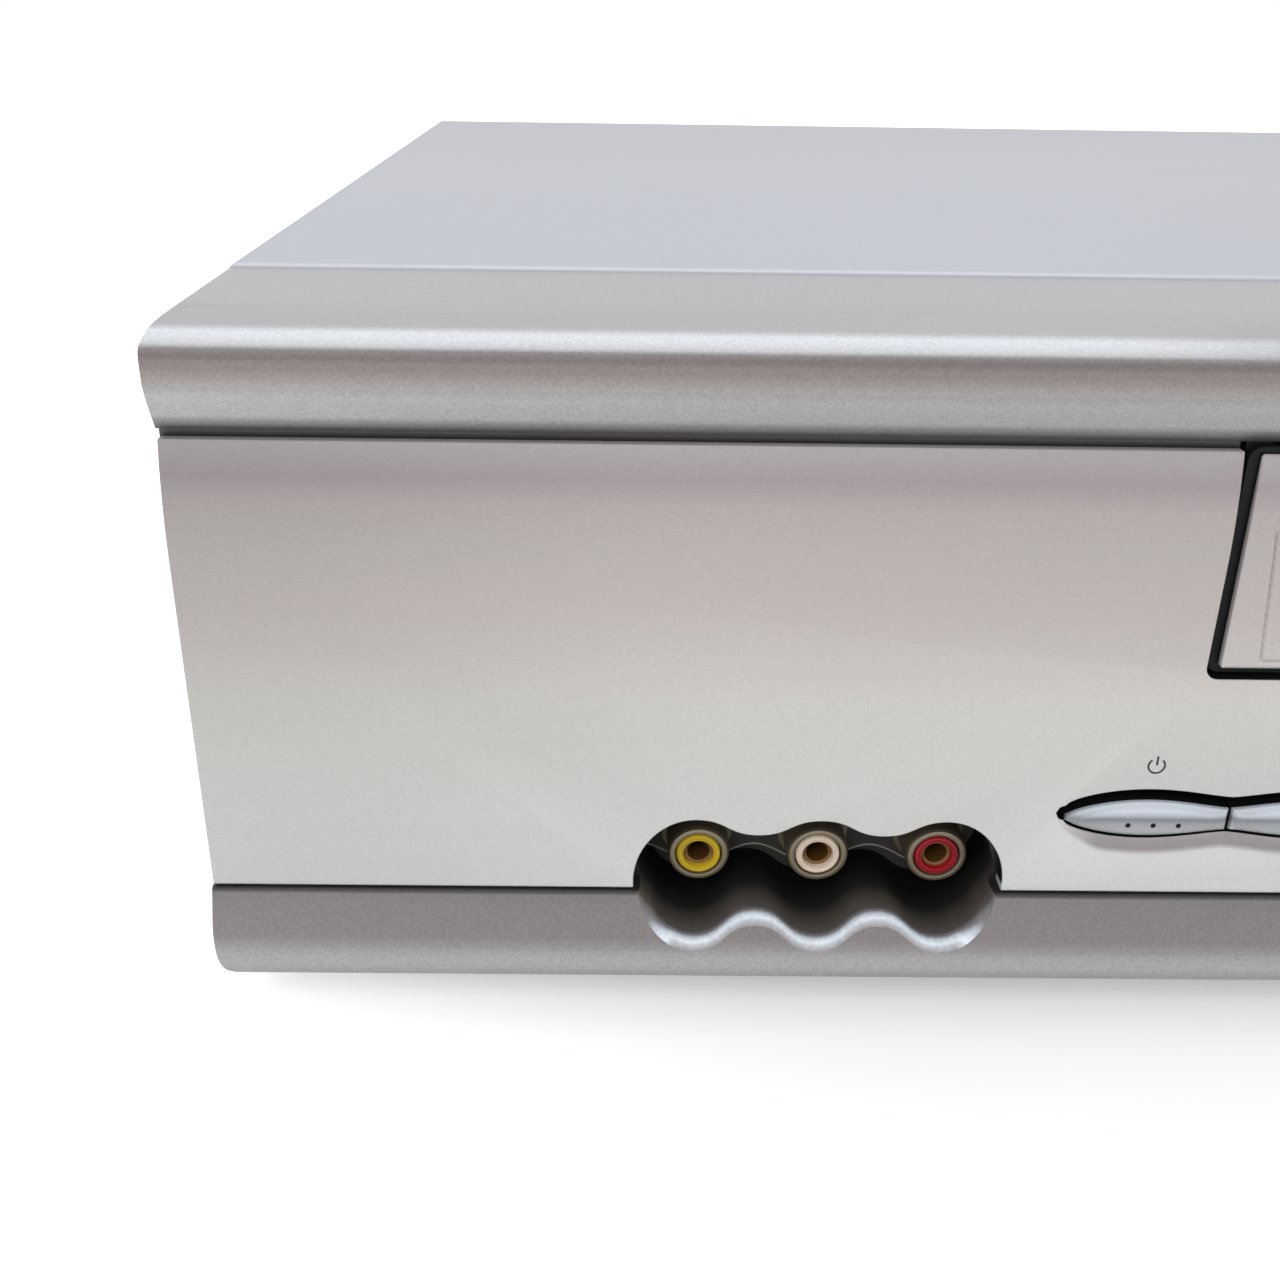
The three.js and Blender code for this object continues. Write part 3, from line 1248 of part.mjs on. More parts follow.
const roller = bar("z", rollerPlace, pinch.roller, pinch.bottom, pinch.top, roundSteps);
piece("pinch_roller", roller.subtract(rollerBore), rubber);

// Cassette carriage: a holder that slides in with the cassette and then sinks onto the reels
const slide = { travel: 70, drop: 14, slotHalf: 2.3, pin: 2, run: 0.5 };
const holder = { half: 94, front: -90, rear: -23, bottom: 50, top: 76, plate: 1.2, flange: 19, pinZ: 62 };
const slider = { gap: 0.6, plate: 1.2, low: 42, high: 80, front: -76, rear: -28, bridge: 12, pinZ: 70 };
const side = { gap: 0.6, plate: 1.6, low: 0.3, high: 84, front: -88, rear: 48, bridge: 8 };
const holderPins = [-64, -40];
const sliderPins = [-70, -34];
const holderOut = holder.half + holder.plate;
const sliderIn = holderOut + slider.gap;
const sliderOut = sliderIn + slider.plate;
const sideIn = sliderOut + side.gap;
const sideOut = sideIn + side.plate;

// A block at one side of the mechanism's middle, between two distances from it
function aside(hand, near, far, [y0, y1], [z0, z1]) {
  const ends = [mid + hand * near, mid + hand * far];
  return block(Math.min(...ends), Math.max(...ends), y0, y1, z0, z1);
}

function carriageFrame() {
  const spanY = [side.front, side.rear];
  const plates = [-1, 1].map((hand) => {
    const plate = aside(hand, sideIn, sideOut, spanY, [deckTop + side.low, side.high]);
    const run = aside(
      hand, sideIn - overrun, sideOut + overrun,
      [sliderPins[0] - slide.slotHalf, sliderPins[1] + slide.travel + slide.slotHalf],
      [slider.pinZ - slide.slotHalf, slider.pinZ + slide.slotHalf],
    );
    return plate.subtract(run);
  });
  const bridge = aside(
    1, -sideOut, sideOut,
    [side.rear - side.bridge, side.rear], [side.high - side.plate, side.high],
  );
  return joined([...plates, bridge]);
}
piece("carriage_frame", carriageFrame(), zincSteel);

function carriageSlider() {
  const plates = [-1, 1].map((hand) => {
    const plate = aside(hand, sliderIn, sliderOut, [slider.front, slider.rear], [slider.low, slider.high]);
    const drops = holderPins.map((y) =>
      aside(
        hand, sliderIn - overrun, sliderOut + overrun,
        [y - slide.slotHalf, y + slide.slotHalf],
        [holder.pinZ - slide.drop - slide.slotHalf, holder.pinZ + slide.slotHalf],
      ),
    );
    const pins = sliderPins.map((y) =>
      bar(
        "x", [y, slider.pinZ], slide.pin,
        mid + hand * sliderIn, mid + hand * (sideOut + slide.run), roundSteps,
      ),
    );
    return joined([cut(plate, drops), ...pins]);
  });
  const middle = (slider.front + slider.rear) / 2;
  const bridge = aside(
    1, -sliderOut, sliderOut,
    [middle - slider.bridge / 2, middle + slider.bridge / 2], [slider.high - slider.plate, slider.high],
  );
  return joined([...plates, bridge]);
}
piece("carriage_slider", carriageSlider(), zincSteel);

function cassetteHolder() {
  const spanY = [holder.front, holder.rear];
  const low = holder.bottom - holder.plate;
  const high = holder.top + holder.plate;
  const roof = aside(1, -holderOut, holderOut, spanY, [holder.top, high]);
  const sides = [-1, 1].flatMap((hand) => [
    aside(hand, holder.half, holderOut, spanY, [low, high]),
    aside(hand, holder.half - holder.flange, holderOut, spanY, [low, holder.bottom]),
    ...holderPins.map((y) =>
      bar(
        "x", [y, holder.pinZ], slide.pin,
        mid + hand * (holder.half + slide.run), mid + hand * sliderOut, roundSteps,
      ),
    ),
  ]);
  return joined([roof, ...sides]);
}
piece("cassette_holder", cassetteHolder(), zincSteel);

export default recorder;
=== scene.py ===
import math

import bmesh
import bpy
import numpy as np
from mathutils import Matrix, Vector


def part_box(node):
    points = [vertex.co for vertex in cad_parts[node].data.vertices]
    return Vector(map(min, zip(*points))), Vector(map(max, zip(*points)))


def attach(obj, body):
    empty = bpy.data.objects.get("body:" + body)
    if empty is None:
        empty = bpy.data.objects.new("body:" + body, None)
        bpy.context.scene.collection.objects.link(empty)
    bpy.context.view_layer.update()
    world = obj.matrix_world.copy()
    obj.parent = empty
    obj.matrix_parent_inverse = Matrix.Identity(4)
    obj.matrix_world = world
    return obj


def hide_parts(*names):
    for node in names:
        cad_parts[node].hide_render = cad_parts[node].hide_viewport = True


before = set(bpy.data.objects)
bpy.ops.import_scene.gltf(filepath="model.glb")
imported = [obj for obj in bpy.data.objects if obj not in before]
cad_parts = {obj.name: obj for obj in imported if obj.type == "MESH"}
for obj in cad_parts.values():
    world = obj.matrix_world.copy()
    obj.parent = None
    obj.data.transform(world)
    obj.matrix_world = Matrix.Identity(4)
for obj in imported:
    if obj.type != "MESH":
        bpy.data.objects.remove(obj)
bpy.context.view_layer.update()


def placed(name, data):
    """A new object of some data, in the scene."""
    made = bpy.data.objects.new(name, data)
    bpy.context.collection.objects.link(made)
    return made


# The camera stands close in front of the left end of the recorder and looks down on it.
# Its place, its turn and its focal length were worked out from the straight edges of the front.
MM = 0.001
CAMERA_PLACE, CAMERA_LENS = (-126.9, -281.5, 125.3), 39.2
pitch, yaw, roll = math.radians(24.99), math.radians(0.66), math.radians(0.87)
camera_data = bpy.data.cameras.new("camera")
camera_data.sensor_width = 36
camera_data.lens = CAMERA_LENS
camera_data.clip_start = 0.01
camera = placed("camera", camera_data)
forward = Vector((math.sin(yaw) * math.cos(pitch), math.cos(yaw) * math.cos(pitch), -math.sin(pitch)))
level = Vector((math.cos(yaw), -math.sin(yaw), 0))
upward = level.cross(forward)
right = math.cos(roll) * level + math.sin(roll) * upward
upward = math.cos(roll) * upward - math.sin(roll) * level
turn = Matrix((right, upward, -forward)).transposed().to_4x4()
camera.matrix_world = Matrix.Translation(Vector(CAMERA_PLACE) * MM) @ turn
bpy.context.scene.camera = camera
bpy.context.scene.view_settings.view_transform = "Standard"


# Materials are written as short expressions of node outputs.
class Wire:
    """One output of a shader node. Sums, differences and products of it add Math nodes."""

    def __init__(self, tree, socket=None):
        self.tree = tree
        self.socket = socket

    def node(self, kind, settings=None, inputs=None, out=0):
        """Adds a node with its settings first and then its inputs, and gives one output."""
        node = self.tree.nodes.new(kind)
        for name, value in (settings or {}).items():
            if name == "stops":
                ramp = node.color_ramp
                while len(ramp.elements) < len(value):
                    ramp.elements.new(0.5)
                for element, (place, color) in zip(ramp.elements, value):
                    element.position = place
                    element.color = color
            else:
                setattr(node, name, value)
        for name, value in (inputs or {}).items():
            if isinstance(value, Wire):
                self.tree.links.new(value.socket, node.inputs[name])
            else:
                node.inputs[name].default_value = value
        return Wire(self.tree, node.outputs[out])

    def math(self, operation, other=0.0, third=0.0):
        return self.node("ShaderNodeMath", {"operation": operation}, {0: self, 1: other, 2: third})

    def __add__(self, other):
        return self.math("ADD", other)

    __radd__ = __add__

    def __mul__(self, other):
        return self.math("MULTIPLY", other)

    __rmul__ = __mul__

    def __sub__(self, other):
        return self.math("SUBTRACT", other)

    def __rsub__(self, other):
        return self.node("ShaderNodeMath", {"operation": "SUBTRACT"}, {0: other, 1: self})

    def ramp(self, low, high):
        """Rises smoothly from 0 at low to 1 at high."""
        settings = {"interpolation_type": "SMOOTHSTEP"}
        return self.node("ShaderNodeMapRange", settings, {0: self, 1: low, 2: high})

    def noise(self, scale, detail=2.0):
        """A noise pattern round 0.5, on the coordinates that this Wire carries."""
        return self.node("ShaderNodeTexNoise", None, {"Vector": self, "Scale": scale, "Detail": detail})

    def mixed(self, low, high):
        """A colour between two, where this socket is the share of the second."""
        return self.node("ShaderNodeMix", {"data_type": "RGBA"}, {0: self, 6: low, 7: high}, 2)


def paint_tree(name):
    """A new material with its Principled shader, and a Wire that starts on its Object coordinates."""
    material = bpy.data.materials.new(name)
    material.use_nodes = True
    tree = material.node_tree
    shader = tree.nodes["Principled BSDF"]
    place = Wire(tree).node("ShaderNodeTexCoord", out=3)
    return material, shader, place


def feed(shader, name, value):
    """Links a Wire to a socket of the shader, or sets a number or colour on it."""
    if isinstance(value, Wire):
        value.tree.links.new(value.socket, shader.inputs[name])
    else:
        shader.inputs[name].default_value = value


def color(red, green, blue):
    """An sRGB colour of 0 to 255 as the linear colour that the shader reads."""
    parts = [value / 255 for value in (red, green, blue)]
    linear = [part / 12.92 if part <= 0.04045 else ((part + 0.055) / 1.055) ** 2.4 for part in parts]
    return (*linear, 1.0)


def seen_directly(tree):
    """1 on rays that the camera, a reflection or clear plastic sends, and 0 on the light's own."""
    path = tree.nodes.new("ShaderNodeLightPath")
    seen = Wire(tree, path.outputs["Is Camera Ray"])
    for name in ("Is Glossy Ray", "Is Transmission Ray"):
        seen = seen.math("MAXIMUM", Wire(tree, path.outputs[name]))
    return seen


# The floor is white where it is looked at, with the recorder's shadow on it, and greyer to the
# light that it throws back up, so that the undersides of the front stay darker.
FLOOR_REACH = 3.0
CLEAR_NEAR, CLEAR_FAR, SHADOW_GLOW = 0.15, 0.34, 0.26
corners = [(-1, -1), (1, -1), (1, 1), (-1, 1)]
floor_mesh = bpy.data.meshes.new("floor")
floor_mesh.from_pydata([(a * FLOOR_REACH, b * FLOOR_REACH, 0) for a, b in corners], [], [(0, 1, 2, 3)])
floor = placed("floor", floor_mesh)
floor_material, floor_shader, floor_place = paint_tree("pale_floor")
floor_seen = seen_directly(floor_material.node_tree)
distance = floor_place.node("ShaderNodeVectorMath", {"operation": "LENGTH"}, {0: floor_place}, 1)
glow = distance.ramp(CLEAR_NEAR, CLEAR_FAR) * (1.0 - SHADOW_GLOW) + SHADOW_GLOW
feed(floor_shader, "Base Color", floor_seen.mixed((0.5, 0.5, 0.5, 1), (0.9, 0.9, 0.9, 1)))
feed(floor_shader, "Emission Color", (glow * floor_seen).mixed((0, 0, 0, 1), (1, 1, 1, 1)))
floor_shader.inputs["Emission Strength"].default_value = 1.0
floor_shader.inputs["Roughness"].default_value = 0.9
floor_mesh.materials.append(floor_material)

# Seen from below, the floor is clear, so that it doesn't hide the underside.
floor_clear = floor_place.node("ShaderNodeBsdfTransparent")
underneath = floor_place.node("ShaderNodeNewGeometry", None, None, 6)
floor_out = floor_material.node_tree.nodes["Material Output"].inputs["Surface"]
floor_face = Wire(floor_material.node_tree, floor_shader.outputs["BSDF"])
floor_mix = underneath.node("ShaderNodeMixShader", None, {0: underneath, 1: floor_face, 2: floor_clear})
floor_material.node_tree.links.new(floor_mix.socket, floor_out)

world = bpy.data.worlds.new("world")
bpy.context.scene.world = world
world.use_nodes = True
world_seen = seen_directly(world.node_tree)
sky_light = world_seen.node("ShaderNodeBackground", None, {"Color": (0.85, 0.9, 1.0, 1), "Strength": 0.42})
sky_seen = world_seen.node("ShaderNodeBackground", None, {"Color": (1, 1, 1, 1), "Strength": 1.0})
both = world_seen.node("ShaderNodeMixShader", None, {0: world_seen, 1: sky_light, 2: sky_seen})
world.node_tree.links.new(both.socket, world.node_tree.nodes["World Output"].inputs["Surface"])


def lamp(name, place, target, size, watts, tint=(1, 1, 1), mirrored=True):
    """A square soft lamp at a place, facing a target. It may be left out of reflections."""
    data = bpy.data.lights.new(name, "AREA")
    data.size = size
    data.energy = watts
    data.color = tint
    body = placed(name, data)
    body.location = place
    body.rotation_euler = (Vector(target) - Vector(place)).to_track_quat("-Z", "Y").to_euler()
    body.visible_glossy = mirrored


lamp("overhead_lamp", (-0.1, 0.62, 1.2), (-0.05, -0.05, 0.05), 1.3, 6.8, tint=(0.95, 0.98, 1.0))
lamp("front_lamp", (-0.5, -1.3, 0.9), (-0.05, -0.1, 0.04), 1.0, 15, mirrored=False)
lamp("side_lamp", (1.3, -0.5, 0.8), (0.05, 0, 0.04), 0.9, 5, mirrored=False)


# Helpers for new pieces, which are written in millimetres and become meshes in metres at the origin.
def mesh_object(name, points, faces):
    """A mesh object at the origin from points in millimetres, with its faces turned outwards."""
    mesh = bpy.data.meshes.new(name)
    mesh.from_pydata((np.asarray(points, dtype=float) * MM).tolist(), [], faces)
    shaped = bmesh.new()
    shaped.from_mesh(mesh)
    bmesh.ops.remove_doubles(shaped, verts=shaped.verts, dist=1e-7)
    bmesh.ops.recalc_face_normals(shaped, faces=shaped.faces)
    shaped.to_mesh(mesh)
    shaped.free()
    return placed(name, mesh)


def spread(x, y, z):
    """Coordinates of different shapes spread over one grid of points."""
    return np.stack(np.broadcast_arrays(x, y, z), axis=-1)


def grid_faces(rows, columns, round_rows=False, round_columns=False):
    """The four-sided faces between neighbours on a grid of points, which may close on itself."""
    row = np.arange(rows if round_rows else rows - 1)[:, None]
    column = np.arange(columns if round_columns else columns - 1)[None, :]
    next_row, next_column = (row + 1) % rows, (column + 1) % columns
    corners = [
        row * columns + column, row * columns + next_column,
        next_row * columns + next_column, next_row * columns + column,
    ]
    return np.stack(corners, axis=-1).reshape(-1, 4).tolist()


def applied(piece, kind, **settings):
    """Gives a piece the mesh that a modifier with some settings makes of it."""
    modifier = piece.modifiers.new("step", kind)
    for name, value in settings.items():
        setattr(modifier, name, value)
    graph = bpy.context.evaluated_depsgraph_get()
    made = bpy.data.meshes.new_from_object(piece.evaluated_get(graph))
    piece.modifiers.clear()
    piece.data = made


def combined(target, tool, operation="DIFFERENCE"):
    """The target after a Boolean with the tool, which is then removed."""
    applied(target, "BOOLEAN", object=tool, operation=operation, solver="EXACT")
    bpy.data.objects.remove(tool)
    return target


def joined(target, *others):
    """The target with other meshes added to its own, which are then removed."""
    shaped = bmesh.new()
    shaped.from_mesh(target.data)
    for other in others:
        shaped.from_mesh(other.data)
    shaped.to_mesh(target.data)
    shaped.free()
    for other in others:
        bpy.data.objects.remove(other)
    return target


ROUNDING = {"segments": 3, "limit_method": "ANGLE", "angle_limit": math.radians(40)}


def finished(piece, body, material, angle=35, bevel=0.0, replaced=()):
    """Gives a piece its edge rounding, smooth faces, material and body."""
    if bevel:
        applied(piece, "BEVEL", width=bevel * MM, **ROUNDING)
    shaped = bmesh.new()
    shaped.from_mesh(piece.data)
    for face in shaped.faces:
        face.smooth = True
    for edge in shaped.edges:
        if len(edge.link_faces) == 2 and edge.calc_face_angle() > math.radians(angle):
            edge.smooth = False
    shaped.to_mesh(piece.data)
    shaped.free()
    piece.data.materials.clear()
    piece.data.materials.append(material)
    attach(piece, body)
    if replaced:
        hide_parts(*replaced)
    return piece


def read(parts, name, kind=int):
    """One whole number for each part of a mesh, or three numbers, as one array."""
    values = np.empty(len(parts) * (1 if kind is int else 3), dtype=kind)
    parts.foreach_get(name, values)
    return values if kind is int else values.reshape(-1, 3)


def face_places(piece):
    """The middle of each face in millimetres and its normal, as two arrays."""
    return read(piece.data.polygons, "center", float) / MM, read(piece.data.polygons, "normal", float)


def slotted(piece, material, chosen):
    """Adds a material to a piece and gives it to the chosen faces."""
    piece.data.materials.append(material)
    slots = read(piece.data.polygons, "material_index")
    slots[chosen] = len(piece.data.materials) - 1
    piece.data.polygons.foreach_set("material_index", slots)


# Which of (across, up, along) stand in X, Y and Z when a shape is carried along an axis.
AXIS_ORDER = {"x": (2, 0, 1), "y": (0, 2, 1), "z": (0, 1, 2)}


def prism(name, outline, axis, start, end):
    """A closed outline carried along an axis, in (y, z) for x, in (x, z) for y, in (x, y) for z."""
    across, up = np.asarray(outline, dtype=float).T
    count = len(across)
    points = spread(across, up, np.array([[start], [end]]))[..., AXIS_ORDER[axis]].reshape(-1, 3)
    caps = [tuple(range(count)), tuple(range(count, 2 * count))]
    return mesh_object(name, points, grid_faces(2, count, round_columns=True) + caps)


def lofted(name, rings):
    """A skin through rings of the same number of points, closed by a face on the first and the last."""
    rings = np.asarray(rings, dtype=float)
    rows, count = rings.shape[:2]
    caps = [tuple(range(count)), tuple(range((rows - 1) * count, rows * count))]
    return mesh_object(name, rings.reshape(-1, 3), grid_faces(rows, count, round_columns=True) + caps)


def turned(name, profile, centre, axis="y", steps=64):
    """A closed profile of (radius, place along the axis) turned round a centre (two numbers)."""
    radius, along = np.asarray(profile, dtype=float).T
    angle = 2 * math.pi * np.arange(steps)[:, None] / steps
    grid = spread(centre[0] + radius * np.cos(angle), centre[1] + radius * np.sin(angle), along)
    faces = grid_faces(steps, len(profile), round_rows=True, round_columns=True)
    return mesh_object(name, grid[..., AXIS_ORDER[axis]].reshape(-1, 3), faces)


def box(name, x0, x1, y0, y1, z0, z1):
    """A plain block between two corners."""
    return prism(name, [(x0, z0), (x1, z0), (x1, z1), (x0, z1)], "y", y0, y1)


def bezier(start, *controls, steps=12):
    """Points on a curve with one or two controls, without its first point: each control is mixed
    with the next by the share of the way, again and again, until one point is left."""
    share = np.arange(1, steps + 1)[:, None] / steps
    level = [np.asarray(point, dtype=float) for point in (start, *controls)]
    while len(level) > 1:
        level = [low * (1 - share) + high * share for low, high in zip(level, level[1:])]
    return level[0].tolist()


def arc(centre, radii, first, last, steps):
    """Points on an ellipse round a centre, from a first angle to a last one in degrees."""
    angle = np.radians(np.linspace(first, last, steps + 1))
    points = [centre[0] + radii[0] * np.cos(angle), centre[1] + radii[1] * np.sin(angle)]
    return np.column_stack(points).tolist()


def rounded_box(a0, a1, b0, b1, radius, steps=8):
    """The outline of a rectangle with rounded corners. The radius may be one number or four."""
    corners = [(a1, b1, -1, -1, 0), (a0, b1, 1, -1, 90), (a0, b0, 1, 1, 180), (a1, b0, -1, 1, 270)]
    made = []
    for (a, b, aside, inward, first), size in zip(corners, np.broadcast_to(radius, 4)):
        if size == 0:
            made.append([a, b])
        else:
            centre = (a + aside * size, b + inward * size)
            made += arc(centre, (size, size), first, first + 90, steps)
    return made


# Sizes of the front that several pieces share, counted from the frame's own pieces.
def node_box(name):
    """The two corners of one of the frame's own pieces, in millimetres."""
    return tuple(np.array(corner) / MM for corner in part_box(name))


(LEFT, FRONT, BASE), (RIGHT, _, CROWN) = node_box("front_frame")
SEAM = -94.6
PANEL = FRONT + 3.6
sockets = []
for name in ("video", "left_audio", "right_audio"):
    x, y, z = np.mean(node_box(name + "_socket_barrel"), axis=0)
    sockets.append((x, z))

# The three-lobed recess round the front sockets: the lobes' radius and pitch, the end lobes'
# narrower width, and how far the valleys between the lobes stay above and below the middle.
LOBE, LOBE_PITCH, END_LOBE = 8.9, 16.0, 7.4
RECESS = (sockets[1][0] - 0.9, BASE + 12.8)
VALLEY_UP, VALLEY_DOWN = 6.7, 5.6


def lobed(margin, steps=14):
    """The recess's outline grown by a margin: round lobes joined by smooth valleys."""
    x0, z0 = RECESS
    radius, end = LOBE + margin, END_LOBE + margin
    half, reach = LOBE_PITCH / 2, LOBE_PITCH / 4

    def waves(first_x, way, level, valley):
        """Two valleys in a row, from one end lobe to the other."""
        wave = []
        places = [(first_x + way * half * k, (level, valley)[k % 2]) for k in range(5)]
        for (x, z), (next_x, next_z) in zip(places, places[1:]):
            controls = (x + way * reach, z), (next_x - way * reach, next_z)
            wave += bezier((x, z), *controls, (next_x, next_z), steps=steps)
        return wave

    made = arc((x0 - LOBE_PITCH, z0), (end, radius), 90, 270, 2 * steps)
    made += waves(x0 - LOBE_PITCH, 1, z0 - radius, z0 - VALLEY_DOWN - margin)
    made += arc((x0 + LOBE_PITCH, z0), (end, radius), -90, 90, 2 * steps)[1:]
    made += waves(x0 + LOBE_PITCH, -1, z0 + radius, z0 + VALLEY_UP + margin)
    return np.array(made[:-1])


# Paints and plastics. A cell pattern makes the flakes in the paint, a fine noise its grain and a
# coarse one its unevenness. Brushed metal has the fine noise stretched along one axis.
FLAKES, GRAIN, CLOUD = 5200.0, 2600.0, 14.0
FLAKE_LIFT, GRAIN_LIFT, CLOUD_LIFT = 0.22, 0.16, 0.05
# How far in from the left end the painted shade of dim_left reaches.
DIM_REACH = 70.0


def painted(name, base, bands=(), axis=2, rough=0.42, metal=0.0, sparkle=0.5,
            coat=0.0, gloss=0.5, brushed=None, dim_left=0.0):
    """A paint or plastic. Bands are (place, shade) pairs that tint it along an axis: painted shade and
    highlights on most paints, the winding's colour on the ferrite. dim_left paints shade towards the left
    end.
    """
    material, shader, place = paint_tree(name)
    stretched = place
    if brushed:
        stretched = place.node("ShaderNodeVectorMath", {"operation": "MULTIPLY"}, {0: place, 1: brushed})
    fleck = place.node("ShaderNodeTexVoronoi", {"feature": "F1"}, {"Vector": place, "Scale": FLAKES}, 1)
    shine = fleck.node("ShaderNodeSeparateColor", None, {0: fleck})
    grain = stretched.noise(GRAIN, 3.0)
    cloud = place.noise(CLOUD)
    fine = (shine - 0.5) * (FLAKE_LIFT * sparkle) + (grain - 0.5) * (GRAIN_LIFT * sparkle)
    level = fine + (cloud - 0.5) * CLOUD_LIFT + 1.0
    tone = cloud.mixed(base, tuple(0.97 * part for part in base[:3]) + (1.0,))
    lifted = tone.node("ShaderNodeHueSaturation", None, {"Color": tone, "Value": level})
    if bands:
        first, last = bands[0][0], bands[-1][0]
        height = place.node("ShaderNodeSeparateXYZ", None, {0: place}, axis)
        side = place.node("ShaderNodeSeparateXYZ", None, {0: place}, 0)
        share = height.node("ShaderNodeMapRange", None, {0: height, 1: first * MM, 2: last * MM})
        stops = [((at - first) / (last - first), (*shade, 1.0)) for at, shade in bands]
        shade = share.node("ShaderNodeValToRGB", {"stops": stops}, {0: share})
        settings = {"data_type": "RGBA", "blend_type": "MULTIPLY"}
        lifted = shade.node("ShaderNodeMix", settings, {0: 1.0, 6: lifted, 7: shade}, 2)
        # Painted shade: darker towards the left end, by the share dim_left.
        level = side.ramp(LEFT * MM, (LEFT + DIM_REACH) * MM) * dim_left + (1.0 - dim_left)
        lifted = shade.node("ShaderNodeHueSaturation", None, {"Color": lifted, "Value": level})
    feed(shader, "Base Color", lifted)
    feed(shader, "Roughness", cloud.math("MULTIPLY_ADD", 0.08, rough - 0.04) + (grain - 0.5) * 0.06)
    shader.inputs["Metallic"].default_value = metal
    shader.inputs["Specular IOR Level"].default_value = gloss
    bump = place.node("ShaderNodeBump", None, {"Strength": 0.05, "Distance": 0.0001, "Height": grain})
    feed(shader, "Normal", bump)
    if coat:
        shader.inputs["Coat Weight"].default_value = coat
    return material


def grey(share):
    """A neutral shade for a band of a paint."""
    return (share, share, share)


# Front frame: one dark silver moulding. It has the rail above with its rolled nose and cove, the
# web behind the panel, and the bellied lip below. Its colour changes with height: painted shade
# and a painted highlight stand in for the light on the curved faces of the real one, and the
# recess round the sockets is cut through its lip.
WEB = PANEL + 3.3
WALL = 2.2
RAIL_BACK, RAIL_BEND = PANEL + 20, PANEL + 9
NOSE_TOP, NOSE_MIDDLE, NOSE_FOOT = CROWN - 1.7, BASE + 80, BASE + 77.6
COVE = BASE + 71.9
LIP_TOP, LIP_BELLY, LIP_FOOT = BASE + 11.5, BASE + 5.8, BASE + 1.6
NOSE_CORNER, LIP_CORNER, END_CORNER = 1.0, 4.5, 1.8
OVERRUN = 2.0
RECESS_BACK = PANEL + 14.5


def frame_profile():
    """The outline of the frame in Y and Z, from the seam along the top, down the front and back."""
    made = [(SEAM, CROWN), (RAIL_BACK, CROWN)]
    made += bezier(made[-1], (RAIL_BEND, CROWN), (PANEL + 4, CROWN - 0.8), steps=12)
    made += [(PANEL + 0.9, NOSE_TOP)]
    made += bezier(made[-1], (PANEL - 0.3, CROWN - 2.0), (PANEL - 0.3, NOSE_MIDDLE), steps=14)
    made += [(PANEL - 0.3, NOSE_FOOT)]
    made += bezier(made[-1], (PANEL + 0.3, BASE + 75.2), (PANEL + 2.3, COVE), steps=12)
    made += [(WEB, COVE), (WEB, LIP_TOP), (PANEL + 0.5, LIP_TOP)]
    made += bezier(made[-1], (PANEL, LIP_TOP), (PANEL - 0.2, LIP_TOP - 0.4), steps=4)
    made += bezier(made[-1], (PANEL - 2.2, LIP_BELLY), (FRONT, LIP_FOOT), steps=14)
    made += bezier(made[-1], (FRONT, BASE), (FRONT + LIP_FOOT - BASE, BASE), steps=8)
    return [*made, (SEAM, BASE)]


def surface_at(z):
    """The depth of the front's surface at some heights: the lip's curve, or the panel above it."""
    depths, heights = np.array(frame_profile()).T
    face = (depths < WEB) & (heights < LIP_TOP + 0.1)
    order = np.argsort(heights[face])
    lip = np.interp(np.maximum(z, BASE), heights[face][order], depths[face][order])
    return np.where(z < LIP_TOP - 0.1, lip, PANEL)


RIM_SINK, RIM_WIDTH = 1.9, 1.35
RIM_FADE_START, RIM_FADE = BASE + 12.5, 4.0


def recess_tool(rim_steps=9):
    """The recess as a cutter whose edge is rounded where it goes in through the curved lip: at a
    share s of the way in, the outline has moved inwards by the height of a quarter circle."""
    rim, inner = lobed(0.0), lobed(-RIM_WIDTH)
    low_share = np.clip((RIM_FADE_START - rim[:, 1]) / RIM_FADE, 0, 1)
    rings = []
    for share in np.linspace(0, 1, rim_steps):
        inward = low_share * math.sqrt(max(1 - (1 - share) ** 2, 0))
        x, z = (rim + (inner - rim) * inward[:, None]).T
        rings.append(np.column_stack([x, surface_at(z) + RIM_SINK * share - 0.02, z]))
    mouth, floor_ring = rings[0].copy(), rings[-1].copy()
    mouth[:, 1] = FRONT - OVERRUN
    floor_ring[:, 1] = RECESS_BACK + OVERRUN
    return lofted("tool", [mouth, *rings, floor_ring])


frame_piece = prism("front_frame_shell", frame_profile(), "x", LEFT, RIGHT)
face = rounded_box(LEFT, RIGHT, BASE, CROWN, (NOSE_CORNER, NOSE_CORNER, LIP_CORNER, LIP_CORNER))
combined(frame_piece, prism("tool", face, "y", FRONT - OVERRUN, SEAM + OVERRUN), "INTERSECT")
plan = rounded_box(LEFT, RIGHT, FRONT, SEAM + 8, (0, 0, END_CORNER, END_CORNER))
combined(frame_piece, prism("tool", plan, "z", BASE - OVERRUN, CROWN + OVERRUN), "INTERSECT")
hollow_back, hollow_top = SEAM + OVERRUN, CROWN - WALL - 2
inner_sides = (LEFT + WALL, RIGHT - WALL)
combined(frame_piece, box("tool", *inner_sides, WEB + WALL, hollow_back, BASE + WALL, hollow_top))
combined(frame_piece, prism("recess_wall", lobed(1.4), "y", WEB + 0.4, RECESS_BACK), "UNION")
combined(frame_piece, recess_tool())

# Key rows: lens shapes that meet end to end, with a rounded point at each end and a waist at each
# join. The opening leaves more room above the caps than below them.
KEY_PITCH, KEY_HEIGHT, KEY_WAIST, KEY_MIDDLE = 20.8, 5.1, 3.0, BASE + 23.2
KEY_GAP, KEY_LIFT, KEY_REACH, SLIT = 1.0, 0.55, 1.1, 0.2
END_ROUNDNESS, WAIST_ROUNDNESS = 0.56, 1.3
key_rows = [
    (node_box("power_button")[0][0], ["power", "eject"]),
    (node_box("rewind_button")[0][0], ["rewind", "play", "fast_forward", "stop", "record"]),
]


